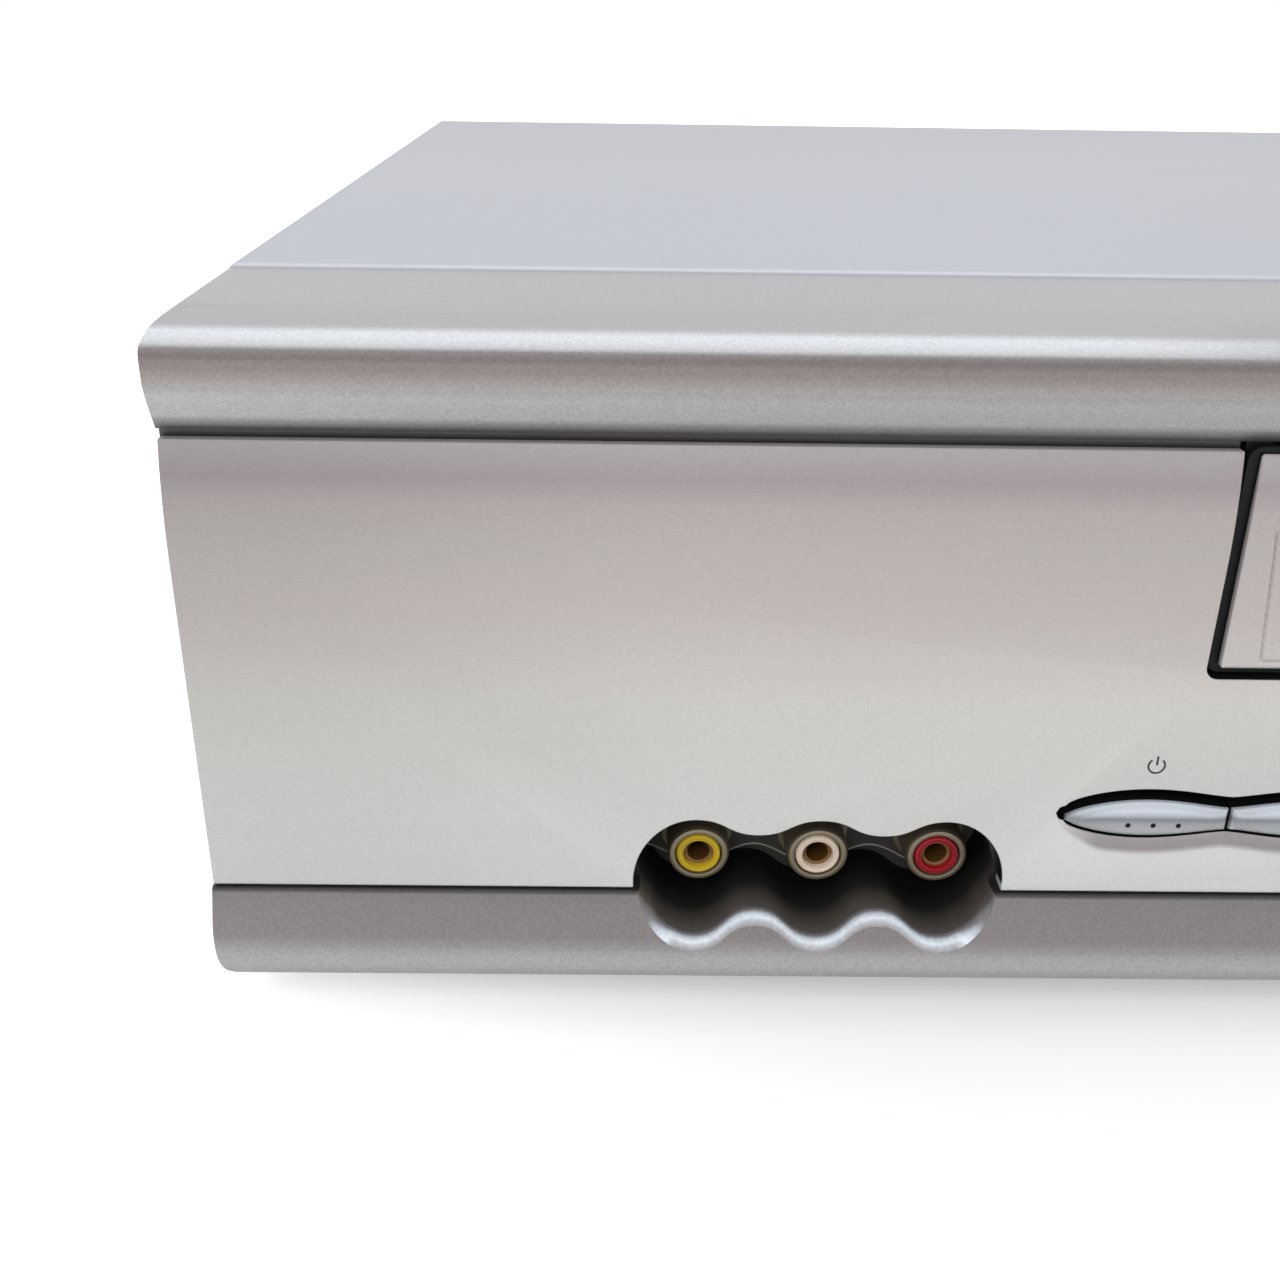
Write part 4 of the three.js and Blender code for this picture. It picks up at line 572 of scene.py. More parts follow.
def key_half_height(along, count):
    """Half the height of a key row at places along it: the least height, and a rise that is the
    absolute sine of half a turn per key, raised to a power."""
    turns = np.asarray(along) / KEY_PITCH
    swell = np.abs(np.sin(math.pi * (turns - np.floor(turns))))
    at_end = (turns < 0.5) | (turns > count - 0.5)
    least = np.where(at_end, 0, KEY_WAIST / 2)
    return least + (KEY_HEIGHT / 2 - least) * swell ** np.where(at_end, END_ROUNDNESS, WAIST_ROUNDNESS)


def key_row_opening(start, count, steps=64):
    """The outline of the opening round a key row, its lower side first."""
    length = count * KEY_PITCH
    along = np.linspace(-KEY_REACH, length + KEY_REACH, count * steps + 1)
    outside = np.clip(np.maximum(-along, along - length) / KEY_REACH, 0, 1)
    half = key_half_height(np.clip(along, 0, length), count) + KEY_GAP * np.sqrt(1 - outside ** 2) + 0.05
    middle = KEY_MIDDLE + KEY_LIFT
    lower = np.column_stack([start + along, middle - half])
    upper = np.column_stack([start + along, middle + half])
    return np.concatenate([lower, upper[::-1]])


door_low, door_high = node_box("door_face")
window_low, window_high = node_box("display_window")
DOOR_MARGIN, DOOR_FOOT, DOOR_CORNER = 1.7, BASE + 42.8, 1.6
WINDOW_INSET, WINDOW_CORNER = 1.7, 2.8
door_hole = rounded_box(
    door_low[0] - DOOR_MARGIN, door_high[0] + DOOR_MARGIN, DOOR_FOOT, hollow_top, DOOR_CORNER,
)
window_hole = rounded_box(
    window_low[0] + WINDOW_INSET, window_high[0] - WINDOW_INSET,
    window_low[2] + WINDOW_INSET, window_high[2] - WINDOW_INSET, WINDOW_CORNER,
)
front_openings = [door_hole, window_hole]
front_openings += [key_row_opening(start, len(names)) for start, names in key_rows]
for opening in front_openings:
    combined(frame_piece, prism("tool", opening, "y", WEB - 1, WEB + WALL + 1))

# Colour by height on the frame: near black on the web behind the panel, which is unpainted black plastic;
# painted shade on the lip under the seam, in the groove and in the cove under the nose; and a bluish painted
# highlight on the bend of the nose.
FRAME_WEB_AND_LIGHT_BANDS = [
    (8.0, grey(0.82)), (11.0, grey(0.8)), (13.5, (0.53, 0.49, 0.48)), (17.5, (0.5, 0.47, 0.46)),
    (19.0, (0.47, 0.44, 0.43)), (19.2, grey(0.07)), (20.0, grey(0.07)), (78.8, grey(0.1)),
    (80.0, (0.2, 0.18, 0.17)), (81.1, grey(0.62)), (81.7, grey(0.98)), (84.2, grey(0.95)),
    (86.0, (0.66, 0.61, 0.58)), (87.4, (0.47, 0.42, 0.4)), (89.25, (0.43, 0.38, 0.37)),
    (89.85, (0.85, 0.86, 0.88)), (90.2, (1.1, 1.14, 1.2)), (90.7, (1.15, 1.2, 1.26)),
    (91.0, (0.76, 0.76, 0.78)), (92.0, (0.78, 0.79, 0.82)),
]
frame_look = {"metal": 0.3, "gloss": 0.4}
frame_paint = painted("frame_paint", color(178, 176, 175), FRAME_WEB_AND_LIGHT_BANDS, rough=0.3, sparkle=1.0, **frame_look)
cheek_paint = painted("cheek_paint", color(170, 169, 170), rough=0.34, sparkle=0.9, **frame_look)

# How far in the recess's wall is, in millimetres, and its colour there: a painted highlight on the
# rounded rim, then painted shade that deepens into the black plastic inside.
RECESS_LIGHT_STOPS = [
    (0.0, (156, 150, 148)), (0.2, (190, 192, 196)), (0.5, (232, 240, 246)), (0.95, (206, 212, 220)),
    (1.4, (130, 128, 130)), (2.1, (92, 86, 82)), (4.5, (74, 69, 65)), (7.5, (34, 33, 32)),
    (11.0, (20, 20, 20)),
]


def recess_paint():
    """The recess's wall: a painted highlight over its rounded edge, then painted shade to near black, by how
    far in it is.
    """
    material, shader, place = paint_tree("recess_paint")
    deepest = RECESS_LIGHT_STOPS[-1][0]
    depth = place.node("ShaderNodeAttribute", {"attribute_name": "sunk"}, None, 2)
    speck = place.noise(1500.0, 3.0)
    share = depth.node("ShaderNodeMapRange", None, {0: depth, 1: 0.0, 2: deepest})
    stops = [(at / deepest, color(*tone)) for at, tone in RECESS_LIGHT_STOPS]
    tone = share.node("ShaderNodeValToRGB", {"stops": stops}, {0: share})
    lifted = tone.node("ShaderNodeHueSaturation", None, {"Color": tone, "Value": (speck - 0.5) * 0.5 + 1.0})
    feed(shader, "Base Color", lifted)
    feed(shader, "Roughness", speck.math("MULTIPLY_ADD", 0.1, 0.4))
    shader.inputs["Specular IOR Level"].default_value = 0.15
    return material


# Painted shade at the recess's outer ends: extra depth added there darkens the rim.
ASIDE_SHADE, ASIDE_SHADE_START = 3.0, 0.35


def sunk_depths_and_shade(piece):
    """How far each point of a piece lies behind the front's surface, in millimetres, and more at
    the outer ends of the recess as painted shade, where the real rim turns away from the light."""
    x, y, z = read(piece.data.vertices, "co", float).T / MM
    aside = np.maximum(np.abs(x - RECESS[0]) - LOBE_PITCH, 0) / END_LOBE
    return y - surface_at(z) + ASIDE_SHADE * np.maximum(aside - ASIDE_SHADE_START, 0)


finished(frame_piece, "cabinet", frame_paint, angle=32, replaced=["front_frame"])
# The sunk attribute holds the depth behind the surface plus the painted shade at the recess's ends.
depths = sunk_depths_and_shade(frame_piece)
sunk = frame_piece.data.attributes.new("sunk", "FLOAT", "POINT")
sunk.data.foreach_set("value", depths)
corner_depths = depths[read(frame_piece.data.loops, "vertex_index")]
first_corners = read(frame_piece.data.polygons, "loop_start")
deepest_point = np.maximum.reduceat(corner_depths, first_corners)
highest_point = np.minimum.reduceat(corner_depths, first_corners)
middles, normals = face_places(frame_piece)
x, y, z = middles.T
near_recess = (np.abs(x - RECESS[0]) <= LOBE_PITCH + LOBE + 1.6) & (z > BASE + 3) & (z < BASE + 24)
behind_front = (deepest_point > 0.05) & (highest_point > -0.2) & (y <= RECESS_BACK + 1)
slotted(frame_piece, recess_paint(), near_recess & behind_front)
slotted(frame_piece, cheek_paint, (np.abs(normals[:, 0]) > 0.9) & (np.abs(x) > RIGHT - 0.3))

# Front panel: the pale silver face plate. It bows back along its top, and its openings have soft
# outer edges and black sides, as a painted moulding over black plastic has.
PANEL_THICK, BOW_START, PANEL_TOP, BOW = 3.0, BASE + 57, BASE + 70.9, 1.6
PANEL_FOOT, PANEL_EDGE, RECESS_GAP = BASE + 11.8, 0.25, 0.5
# Painted shade on the panel and the door's plate: darker and pinker towards the top under the rail's nose,
# lighter towards the foot; dim_left paints shade at the left end.
PANEL_SHADE_BANDS = [
    (19.8, grey(1.07)), (30.0, (1.06, 1.05, 1.02)), (47.0, (0.95, 0.91, 0.87)),
    (58.0, (0.81, 0.73, 0.71)), (67.0, (0.72, 0.65, 0.64)), (72.0, (0.66, 0.59, 0.58)),
    (75.0, (0.55, 0.48, 0.48)), (79.2, (0.66, 0.6, 0.6)),
]
panel_paint = painted(
    "panel_paint", color(206, 206, 204), PANEL_SHADE_BANDS,
    rough=0.45, metal=0.2, sparkle=0.45, gloss=0.4, dim_left=0.16,
)
black_plastic = painted("black_plastic", color(20, 20, 21), rough=0.42, sparkle=0.5, gloss=0.12)


def panel_profile():
    """The panel's section in Y and Z: upright up to the bow, which is one quadratic curve."""
    made = [(PANEL + PANEL_THICK, PANEL_FOOT), (PANEL + PANEL_EDGE, PANEL_FOOT)]
    made += [(PANEL, PANEL_FOOT + PANEL_EDGE), (PANEL, BOW_START)]
    made += bezier(made[-1], (PANEL, (BOW_START + PANEL_TOP) / 2), (PANEL + BOW, PANEL_TOP), steps=14)
    return made + [(PANEL + PANEL_THICK, PANEL_TOP)]


panel_piece = prism("front_panel_plate", panel_profile(), "x", LEFT + 0.2, RIGHT - 0.2)
for opening in [lobed(RECESS_GAP), *front_openings]:
    combined(panel_piece, prism("tool", opening, "y", PANEL - OVERRUN, PANEL + PANEL_THICK + OVERRUN))
finished(panel_piece, "cabinet", panel_paint, angle=32, bevel=0.3, replaced=["front_panel"])
middles, normals = face_places(panel_piece)
x, y, z = middles.T
inside_plate = (np.abs(x) < RIGHT - 1) & (z > BASE + 12.5) & (z < BASE + 70)
slotted(panel_piece, black_plastic, inside_plate & (y > PANEL + 0.3) & (np.abs(normals[:, 1]) < 0.5))

# Cassette door: the frame's own black leaf, with this silver face plate in front of it. The plate
# bows back with the panel and has a shallow embossed field with a fine line round it.
PLATE_TOP, PLATE_SINK, PLATE_BOW, PLATE_CORNER = BASE + 70.8, 0.2, 0.6, 0.45
FIELD_SIDE, FIELD_TOP, FIELD_FOOT, FIELD_SLANT = 4.7, 9.2, 0.9, 1.3 / 16.0
FIELD_RISE, FIELD_SLOPE, LINE_DEPTH, LINE_HALF = 0.2, 1.6, 0.3, 0.22
EDGE_RADIUS, EDGE_SHARE, DENSE_END = 0.35, 0.7, 9.0


def door_plate():
    """The face plate as a grid in X and Z, denser at its ends. Its depth is the plate's, less a
    smooth step s * s * (3 - 2 * s) up to the field, plus the line, the bow and a rounded rim."""
    x0, x1, z0, z1 = door_low[0], door_high[0], door_low[2], PLATE_TOP
    xs = np.concatenate([
        np.linspace(x0, x0 + DENSE_END, 90),
        np.linspace(x0 + DENSE_END + 0.6, x1 - DENSE_END - 0.6, 120),
        np.linspace(x1 - DENSE_END, x1, 90),
    ])
    zs = np.linspace(z0, z1, 110)
    columns, rows = len(xs), len(zs)
    x, z = np.meshgrid(xs, zs)
    side = FIELD_SIDE - FIELD_SLANT * (z - z0)
    inside = np.minimum.reduce([x - x0 - side, x1 - side - x, z1 - FIELD_TOP - z, z - z0 - FIELD_FOOT])
    step = np.clip(inside / FIELD_SLOPE + 0.5, 0, 1)
    rise = step * step * (3 - 2 * step) * FIELD_RISE
    line = np.maximum(1 - np.abs(inside) / LINE_HALF, 0) * LINE_DEPTH
    bow = PLATE_BOW * (np.maximum(z - BOW_START, 0) / (PANEL_TOP - BOW_START)) ** 2
    edge = np.minimum.reduce([x - x0, x1 - x, z - z0, z1 - z])
    near = np.maximum(EDGE_RADIUS - edge, 0)
    rim = (EDGE_RADIUS - np.sqrt(np.maximum(EDGE_RADIUS ** 2 - near ** 2, 0))) * EDGE_SHARE
    front = spread(x, door_low[1] + PLATE_SINK - rise + bow + line + rim, z).reshape(-1, 3)
    index = np.arange(rows * columns).reshape(rows, columns)
    border = np.concatenate([index[0], index[1:, -1], index[-1, -2::-1], index[-2:0:-1, 0]])
    back = front[border].copy()
    back[:, 1] = door_high[1]
    count = len(border)
    start = len(front)
    after = np.roll(np.arange(count), -1)
    sides = np.column_stack([border, border[after], start + after, start + np.arange(count)])
    faces = grid_faces(rows, columns) + sides.tolist() + [tuple(range(start, start + count))]
    return mesh_object("door_face_plate", np.concatenate([front, back]), faces)


plate = door_plate()
plate_outline = rounded_box(
    door_low[0] - 0.01, door_high[0] + 0.01, door_low[2] - 0.01, PLATE_TOP + 0.01, (PLATE_CORNER,) * 4,
)
combined(plate, prism("tool", plate_outline, "y", PANEL - 3, PANEL + 5), "INTERSECT")
finished(plate, "door", panel_paint, angle=50, replaced=["door_face"])

# Keys: domed silver caps on square stems, with black sides below the face.
# Painted light on the caps by height: painted shade on the lower half and in a narrow band at the middle,
# and a bluish painted highlight on the upper half.
KEY_LIGHT_BANDS = [
    (28.6, (0.66, 0.63, 0.6)), (29.6, (0.76, 0.74, 0.7)), (30.6, (0.62, 0.6, 0.58)), (31.4, grey(0.34)),
    (32.0, (0.72, 0.74, 0.78)), (32.6, (0.86, 0.88, 0.9)), (33.8, (0.96, 0.99, 1.03)),
]
key_silver = painted("key_silver", color(206, 209, 214), KEY_LIGHT_BANDS, rough=0.28, metal=0.3, sparkle=0.05)
CAP_LEAST, CAP_DOME, CAP_SHOULDER, CAP_BACK, CROWN_ROUNDNESS = 0.35, 0.75, 0.97, 4.4, 0.8
STEM_HALF, STEM_START, STEM_END = 1.5, PANEL + 4.3, PANEL + 12.8


def key_cap(name, start, index, count, steps=40):
    """A cap on its stem. The rings shrink towards the crown of its dome: at an angle a they are
    cos(a) ** 0.8 as high and stand sin(a) of the dome's height in front of the panel."""
    first = index * KEY_PITCH + (SLIT if index else 0)
    last = (index + 1) * KEY_PITCH - (SLIT if index + 1 < count else 0)
    middle = (first + last) / 2
    along = np.linspace(first, last, steps + 1)
    half = np.maximum(key_half_height(along, count), CAP_LEAST)
    along, half = np.concatenate([along, along[::-1]]), np.concatenate([-half, half[::-1]])
    angle = np.radians(np.arange(6, 90, 7))
    depths = np.concatenate([[CAP_BACK, 0.25, 0.05], -CAP_DOME * np.sin(angle)])[:, None]
    shares = np.concatenate([[1, 1, 0.985], CAP_SHOULDER * np.cos(angle) ** CROWN_ROUNDNESS])[:, None]
    x = start + middle + (along - middle) * (1 - (1 - shares) / 4)
    rings = spread(x, PANEL + depths, KEY_MIDDLE + half * shares)
    centre = start + middle
    sides = (centre - STEM_HALF, centre + STEM_HALF)
    stem = box("stem", *sides, STEM_START, STEM_END, KEY_MIDDLE - STEM_HALF, KEY_MIDDLE + STEM_HALF)
    return joined(lofted(name + "_cap", rings), stem)


for start, names in key_rows:
    for index, name in enumerate(names):
        cap = key_cap(name, start, index, len(names))
        finished(cap, name + "_key", key_silver, angle=40, replaced=[name + "_button"])
        slotted(cap, black_plastic, face_places(cap)[0][:, 1] > PANEL + 0.3)

# Below each key row a dark strip fades down the panel: painted shade under the openings. Each row
# of the strip is this far below the opening, with this much of the tint.
SHADE_DROPS = np.array([-0.05, 0.7, 1.6, 2.1, 2.5])[:, None]
SHADE_TINTS = np.array([0.34, 0.4, 0.42, 0.2, 0.0])[:, None]
SHADE_END, INK_RISE = 6.0, 0.02


def soft_shade():
    """Painted shade: a dark tint that fades with the point attribute of the same name."""
    material, shader, place = paint_tree("soft_shade")
    fade = place.node("ShaderNodeAttribute", {"attribute_name": "shade"}, None, 2)
    speck = place.noise(900.0)
    feed(shader, "Base Color", speck.mixed(color(112, 92, 92), color(128, 106, 104)))
    feed(shader, "Alpha", fade * (speck * 0.2 + 0.9))
    shader.inputs["Roughness"].default_value = 0.6
    return material


shade_tint = soft_shade()
for start, names in key_rows:
    opening = key_row_opening(start, len(names))
    x, z = opening[:len(opening) // 2].T
    end = np.clip(np.minimum(x - x[0], x[-1] - x) / SHADE_END, 0, 1)
    drop = z - SHADE_DROPS * (0.25 + 0.75 * end)
    points = spread(x, PANEL - INK_RISE, drop).reshape(-1, 3)
    strip = mesh_object(names[0] + "_row_shade", points, grid_faces(len(SHADE_DROPS), len(x)))
    finished(strip, "cabinet", shade_tint)
    fades = strip.data.attributes.new("shade", "FLOAT", "POINT")
    fades.data.foreach_set("value", (SHADE_TINTS * end).ravel())

# Three small dots on the power key, and plain line symbols printed above it and the eject key.
power_x = key_rows[0][0]
DOT_PROFILE = np.array([(0.0, -0.8), (0.33, -0.78), (0.33, -0.2), (0.0, -0.2)]) + (0, PANEL)
dots = [turned("dot", DOT_PROFILE, (power_x + at, KEY_MIDDLE - 0.65), steps=20) for at in (7.9, 11.1, 14.3)]
finished(joined(*dots), "power_key", black_plastic)
ink = painted("symbol_ink", color(62, 60, 62), rough=0.5, gloss=0.2)
INK = (PANEL - INK_RISE, PANEL + 0.05)
symbol_x, symbol_z = power_x + 10.4, KEY_MIDDLE + 7.6
eject_x = symbol_x + KEY_PITCH
ring_outline = arc((symbol_x, symbol_z), (1.15, 1.15), -230, 50, 28)
ring_outline += arc((symbol_x, symbol_z), (0.9, 0.9), 50, -230, 28)
arrow = [(eject_x - 1.3, symbol_z - 0.2), (eject_x + 1.3, symbol_z - 0.2), (eject_x, symbol_z + 1.2)]
marks = [
    prism("power_symbol_ring", ring_outline, "y", *INK),
    box("power_symbol_bar", symbol_x - 0.13, symbol_x + 0.13, *INK, symbol_z + 0.1, symbol_z + 1.35),
    prism("eject_symbol_arrow", arrow, "y", *INK),
    box("eject_symbol_bar", eject_x - 1.3, eject_x + 1.3, *INK, symbol_z - 0.95, symbol_z - 0.55),
]
for mark in marks:
    finished(mark, "cabinet", ink)

# Front sockets: nickel barrels with a collar each, round coloured rings with a brass contact sleeve
# inside, painted darker with depth as shade. Profiles are (radius, depth) pairs, counted from the
# barrels' face or the recess's back.
nickel = painted("nickel", color(134, 123, 102), rough=0.42, metal=0.7, sparkle=0.3)
CONTACT_SHADE_BANDS = [(-124.5, grey(1.0)), (-121.0, grey(0.55)), (-118.0, grey(0.2))]
contact_brass = painted("contact_brass", color(124, 86, 40), CONTACT_SHADE_BANDS, axis=1, rough=0.4, metal=0.3)
ring_paints = {
    "video": painted("yellow_plastic", color(206, 176, 36), rough=0.4, sparkle=0.3),
    "left_audio": painted("cream_plastic", color(232, 214, 194), rough=0.4, sparkle=0.3),
    "right_audio": painted("red_plastic", color(160, 26, 38), rough=0.4, sparkle=0.3),
}
SOCKET_FACE = PANEL + 7
BARREL = [
    (3.05, 12.0), (4.15, 12.0), (4.15, 0.75), (4.05, 0.4), (3.85, 0.15), (3.5, 0.05), (3.2, 0.15),
    (3.05, 0.5),
]
COLLAR = [(4.1, 0.0), (5.0, 0.0), (5.0, -1.0), (4.8, -1.2), (4.1, -1.2)]
CORE = [
    (1.95, 6.3), (2.02, 0.4), (2.1, 0.2), (2.25, 0.2), (2.38, 0.4), (2.55, 0.4), (2.65, 0.2), (2.8, 0.2),
    (2.93, 0.4), (2.95, 0.7), (2.95, 7.0), (1.95, 7.0),
]
CONTACT = [(0.0, 6.6), (1.5, 6.6), (1.5, 1.0), (1.93, 0.9), (1.93, 6.9), (0.0, 6.9)]
for centre, name in zip(sockets, ring_paints):
    barrel = turned(name + "_barrel", np.add(BARREL, (0, SOCKET_FACE)), centre)
    collar = turned("collar", np.add(COLLAR, (0, RECESS_BACK)), centre)
    finished(joined(barrel, collar), "cabinet", nickel, replaced=[name + "_socket_barrel"])
    core = turned(name + "_core", np.add(CORE, (0, SOCKET_FACE)), centre)
    finished(core, "cabinet", ring_paints[name], replaced=[name + "_socket_ring"])
    contact = turned(name + "_contact", np.add(CONTACT, (0, SOCKET_FACE)), centre)
    finished(contact, "cabinet", contact_brass)

# Socket apron: the dark plate behind the barrels, whose lower edge waves round them, and a thin pale
# strip along that edge, a painted highlight for the bright line that the light makes there.
APRON_REACH, APRON_TOP, WAVE_MIDDLE, WAVE_HEIGHT = 8.0, 12.0, 3.7, 1.5
EDGE_DROP, EDGE_THICK = 0.12, 0.22
socket_plate = painted("socket_plate", color(64, 61, 58), rough=0.5, sparkle=1.5, gloss=0.2)
apron_highlight = painted("apron_highlight", color(150, 146, 140), rough=0.4, sparkle=0.4)
apron_x, apron_z = sockets[1]
xs = np.linspace(apron_x - LOBE_PITCH - APRON_REACH, apron_x + LOBE_PITCH + APRON_REACH, 90)
wave = apron_z - WAVE_MIDDLE - WAVE_HEIGHT * np.cos(2 * math.pi * (xs - apron_x) / LOBE_PITCH)
lower_edge = np.column_stack([xs, wave])
apron_top = [(xs[-1], apron_z + APRON_TOP), (xs[0], apron_z + APRON_TOP)]
line_low, line_high = lower_edge - (0, EDGE_DROP), lower_edge + (0, EDGE_THICK - EDGE_DROP)
aprons = [
    ("socket_apron", np.concatenate([lower_edge, apron_top]), 1.1, 0.1, socket_plate),
    ("socket_apron_edge", np.concatenate([line_low, line_high[::-1]]), 1.25, 0.3, apron_highlight),
]
for name, outline, front, back, material in aprons:
    apron = prism(name, outline, "y", RECESS_BACK - front, RECESS_BACK - back)
    tool = prism("tool", lobed(-0.1), "y", RECESS_BACK - front - 1, RECESS_BACK - back + 1)
    finished(combined(apron, tool, "INTERSECT"), "cabinet", material)

# Top cover: one sheet of steel bent down at both sides, with a rolled front edge and side vents.
# Its colour is darker towards the rear, and a painted highlight runs along its front edge.
(_, _, COVER_FOOT), (_, REAR, TOP) = node_box("top_cover")
SHEET, BEND = 0.9, 1.4
COVER_LIGHT_BANDS = [
    (SEAM, grey(1.14)), (SEAM + 0.8, grey(1.14)), (SEAM + 1.2, grey(0.95)), (SEAM + 100, grey(0.94)),
    (128.6, grey(0.88)),
]
# Along the cover's depth, and how much of the sheet's thickness its outer skin has come down.
COVER_STATIONS = np.array([
    (SEAM + 0.3, 0.55), (SEAM + 0.4, 0.28), (SEAM + 0.6, 0.12), (SEAM + 0.9, 0.03), (SEAM + 1.3, 0.0),
    (REAR - 2.0, 0.0), (REAR - 1.2, 0.1), (REAR - 0.5, 0.35), (REAR, 0.75),
])
VENTS, VENT_PITCH, VENT_WIDTH, VENT_CORNER = 9, 8.0, 2.6, 1.25
VENT_START, VENT_FOOT, VENT_TOP = REAR - 24, BASE + 38, BASE + 53


def cover_profile(inset=0.0):
    """The cover's section in X and Z, with a quarter circle at each bend."""
    radii = (BEND - inset, BEND - inset)
    left_bend = arc((LEFT + BEND, TOP - BEND), radii, 180, 90, 15)
    right_bend = arc((RIGHT - BEND, TOP - BEND), radii, 90, 0, 15)
    section = [(LEFT + inset, COVER_FOOT), (LEFT + inset, TOP - BEND), *left_bend, *right_bend]
    return np.array([*section, (RIGHT - inset, TOP - BEND), (RIGHT - inset, COVER_FOOT)])


def cover_shell():
    """Skins at the outer and the inner face, joined by the sheet's edges. The outer skin is mixed
    with the inner one by each station's share, which rolls the edge over."""
    outer, inner = cover_profile(), cover_profile(SHEET)
    count, rows = len(outer), len(COVER_STATIONS)
    depths, drops = COVER_STATIONS.T
    skin = outer + (inner - outer) * drops[:, None, None]
    outside = spread(skin[..., 0], depths[:, None], skin[..., 1]).reshape(-1, 3)
    inside = spread(inner[:, 0], depths[[0, -1], None], inner[:, 1]).reshape(-1, 3)
    points = np.concatenate([outside, inside])
    index = np.arange(rows * count).reshape(rows, count)
    inner_front, inner_rear = rows * count + np.arange(2 * count).reshape(2, count)
    faces = grid_faces(rows, count)
    for one, other in ((inner_front, inner_rear), (index[0], inner_front), (index[-1], inner_rear)):
        faces += np.column_stack([one[:-1], one[1:], other[1:], other[:-1]]).tolist()
    for end in (0, -1):
        faces.append((*index[:, end].tolist(), int(inner_rear[end]), int(inner_front[end])))
    return mesh_object("top_cover_sheet", points, faces)


cover_look = {"rough": 0.45, "metal": 0.15, "sparkle": 0.35, "gloss": 0.3}
cover_paint = painted("cover_paint", color(184, 185, 190), COVER_LIGHT_BANDS, axis=1, **cover_look)
cover_piece = cover_shell()
for side in (LEFT, RIGHT):
    for k in range(VENTS):
        y = VENT_START - VENT_PITCH * k
        slot = rounded_box(y - VENT_WIDTH, y, VENT_FOOT, VENT_TOP, VENT_CORNER, steps=4)
        combined(cover_piece, prism("tool", slot, "x", side - 3, side + 3))
finished(cover_piece, "cabinet", cover_paint, angle=30, replaced=["top_cover"])

# Rear panel's folded edges, which close the slits between it and the cover's sides.
rear_low, rear_high = node_box("rear_panel")
fold_width = RIGHT - SHEET - rear_high[0] - 0.15
rear_edges = [
    box("rear_edge", x0, x0 + fold_width, rear_low[1], rear_high[1], rear_low[2], rear_high[2])
    for x0 in (LEFT + SHEET + 0.13, rear_high[0] + 0.02)
]
finished(joined(*rear_edges), "cabinet", black_plastic)

# Front frame's inner fittings: the lugs that hold the door's hinge pins, and the tongue that
# reaches under the front edge of the cover.
HINGE = (-123.2, 84.1)
LUG_WIDTH, LUG_RADIUS = 3.5, 3.0
TONGUE_INSET, TONGUE_TOP, TONGUE_FOOT = 5.0, CROWN - 1.6, CROWN - 3.0
lug_places = {
    "left_hinge_lug": door_low[0] - DOOR_MARGIN - LUG_WIDTH,
    "right_hinge_lug": door_high[0] + DOOR_MARGIN,
}
for name, x in lug_places.items():
    disc = [(0.0, x), (LUG_RADIUS, x), (LUG_RADIUS, x + LUG_WIDTH), (0.0, x + LUG_WIDTH)]
    lug = turned(name, disc, HINGE, axis="x", steps=32)
    back = box("back", x, x + LUG_WIDTH, WEB + 1, HINGE[0], HINGE[1] - LUG_RADIUS, HINGE[1] + LUG_RADIUS)
    finished(combined(lug, back, "UNION"), "cabinet", black_plastic, bevel=0.3)
tongue_sides = (LEFT + TONGUE_INSET, RIGHT - TONGUE_INSET)
tongue = box("frame_tongue", *tongue_sides, SEAM - 4, SEAM + 6, TONGUE_FOOT, TONGUE_TOP)
finished(tongue, "cabinet", black_plastic, bevel=0.3)


def clad(material, *names):
    """Gives the frame's own pieces a material."""
    for name in names:
        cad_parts[name].material_slots[0].material = material


# Casing: the chassis is a tray of zinc-plated sheet steel, the rear panel black steel, the feet
# rubber. Brushed metals have their grain drawn out along one axis.
ALONG_X, ALONG_Y, ROUND_Z = (0.06, 1.0, 1.0), (1.0, 0.06, 1.0), (1.0, 1.0, 0.03)
zinc_steel = painted("zinc_steel", color(188, 190, 186), rough=0.36, metal=0.8, sparkle=0.4, brushed=ALONG_X)
screw_steel = painted("screw_steel", color(150, 152, 156), rough=0.28, metal=0.9, sparkle=0.3)
black_steel = painted("black_steel", color(38, 38, 40), rough=0.5, metal=0.1, sparkle=0.9)
rubber = painted("rubber", color(30, 30, 30), rough=0.8, sparkle=0.8)
clad(zinc_steel, "main_chassis")
clad(black_steel, "rear_panel")
clad(screw_steel, "left_cover_screw", "right_cover_screw")
clad(rubber, "front_left_foot", "rear_left_foot", "front_right_foot", "rear_right_foot")

# Door, key guide and sockets: black and dark plastics, and a smoked window over the display.
smoked = painted("smoked_window", color(20, 21, 25), rough=0.1, sparkle=0.1, coat=1.0)
clad(black_plastic, "cassette_door", "key_frame", "rear_socket_block", "cord_bushing")
clad(socket_plate, "front_socket_block")
clad(smoked, "display_window")

# Boards: green glass laminate for the main one, tan paper laminate for the front one. The
# transformer's copper winding shows as a band of colour between its dark core's ends.
TRACK_CELLS, PAD_CELLS = 210.0, 330.0
WINDING = (4.2, 3.2, 1.0)
WINDING_BANDS = [
    (12.0, grey(1.0)), (24.0, (1.0, 0.95, 0.9)), (25.0, WINDING), (42.0, WINDING), (43.0, grey(1.0)),
    (56.0, grey(1.0)),
]


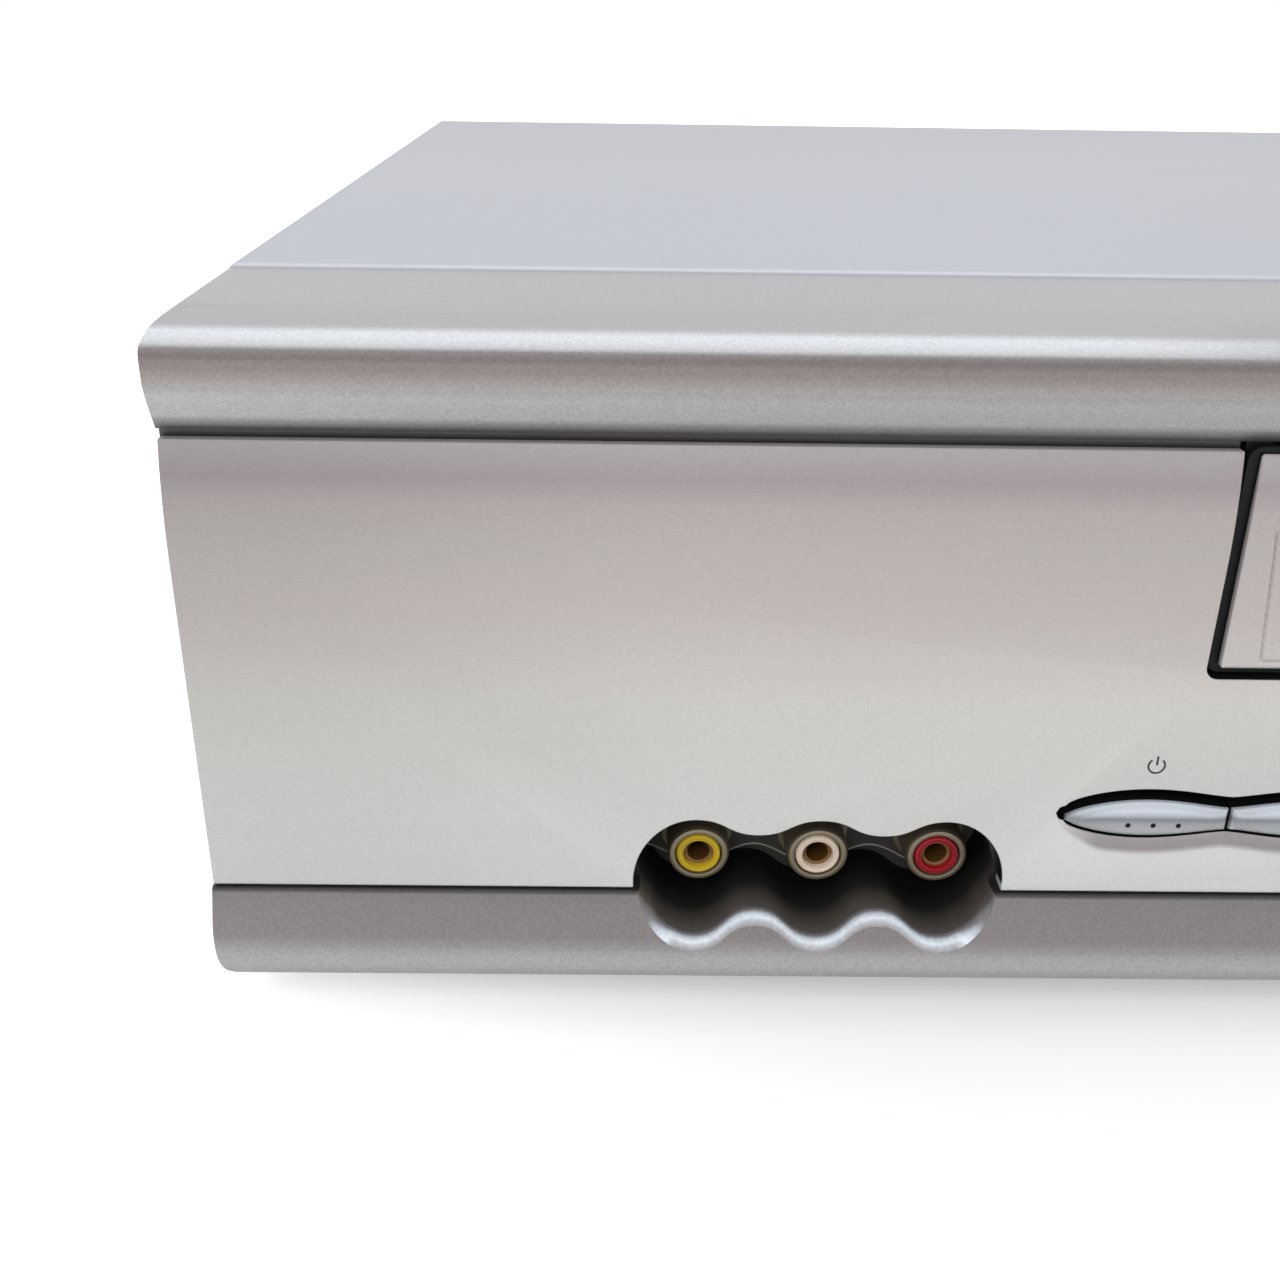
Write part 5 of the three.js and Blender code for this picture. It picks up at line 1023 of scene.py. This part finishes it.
def laminate(name, base, line, pad):
    """A printed circuit board: fine tracks along the edges of cells, and round solder pads."""
    material, shader, place = paint_tree(name)
    edges = {"feature": "DISTANCE_TO_EDGE"}
    cells = place.node("ShaderNodeTexVoronoi", edges, {"Vector": place, "Scale": TRACK_CELLS})
    spots = place.node("ShaderNodeTexVoronoi", {"feature": "F1"}, {"Vector": place, "Scale": PAD_CELLS})
    cloud = place.noise(30.0)
    tracks = 1.0 - cells.ramp(0.03, 0.07)
    pads = 1.0 - spots.ramp(0.16, 0.2)
    tracked = (tracks * 0.6 + cloud * 0.12).mixed(base, line)
    feed(shader, "Base Color", pads.mixed(tracked, pad))
    feed(shader, "Roughness", pads * -0.15 + 0.5)
    feed(shader, "Metallic", pads * 0.7)
    return material


board_green = laminate("board_green", color(24, 74, 44), color(60, 120, 74), color(176, 176, 170))
board_tan = laminate("board_tan", color(150, 118, 66), color(120, 84, 40), color(180, 176, 168))
ferrite = painted("ferrite", color(74, 66, 60), WINDING_BANDS, rough=0.55, sparkle=0.6)
sink_metal = painted("sink_metal", color(188, 190, 194), rough=0.4, metal=0.8, sparkle=0.3, brushed=ROUND_Z)
clad(board_green, "main_circuit_board")
clad(board_tan, "front_circuit_board")
clad(ferrite, "power_transformer")
clad(sink_metal, "heat_sink")
clad(zinc_steel, "tuner_box")

# Tape mechanism: a steel deck with steel arms, turned aluminium drums, guides and heads, white
# nylon wheels, and rubber on the belt, the idler's tyre and the pinch roller.
deck_look = {"rough": 0.34, "metal": 0.85, "sparkle": 0.3, "brushed": ALONG_Y}
deck_steel = painted("deck_steel", color(176, 178, 176), **deck_look)
turned_look = {"rough": 0.24, "metal": 0.95, "sparkle": 0.3, "brushed": ROUND_Z}
turned_metal = painted("turned_metal", color(206, 208, 212), **turned_look)
nylon = painted("white_nylon", color(228, 226, 216), rough=0.5, sparkle=0.25)
clad(deck_steel, "mechanism_deck", "idler_arm", "pinch_arm", "door_spring")
clad(zinc_steel, "carriage_frame", "carriage_slider", "cassette_holder", "loading_motor")
clad(turned_metal, "upper_drum", "lower_drum", "supply_guide", "take_up_guide", "capstan_flywheel")
clad(turned_metal, "audio_control_head", "full_erase_head", "loading_pinion")
clad(nylon, "supply_reel_table", "take_up_reel_table", "clutch_wheel", "mode_cam_gear")
clad(rubber, "drive_belt", "idler_wheel", "pinch_roller")
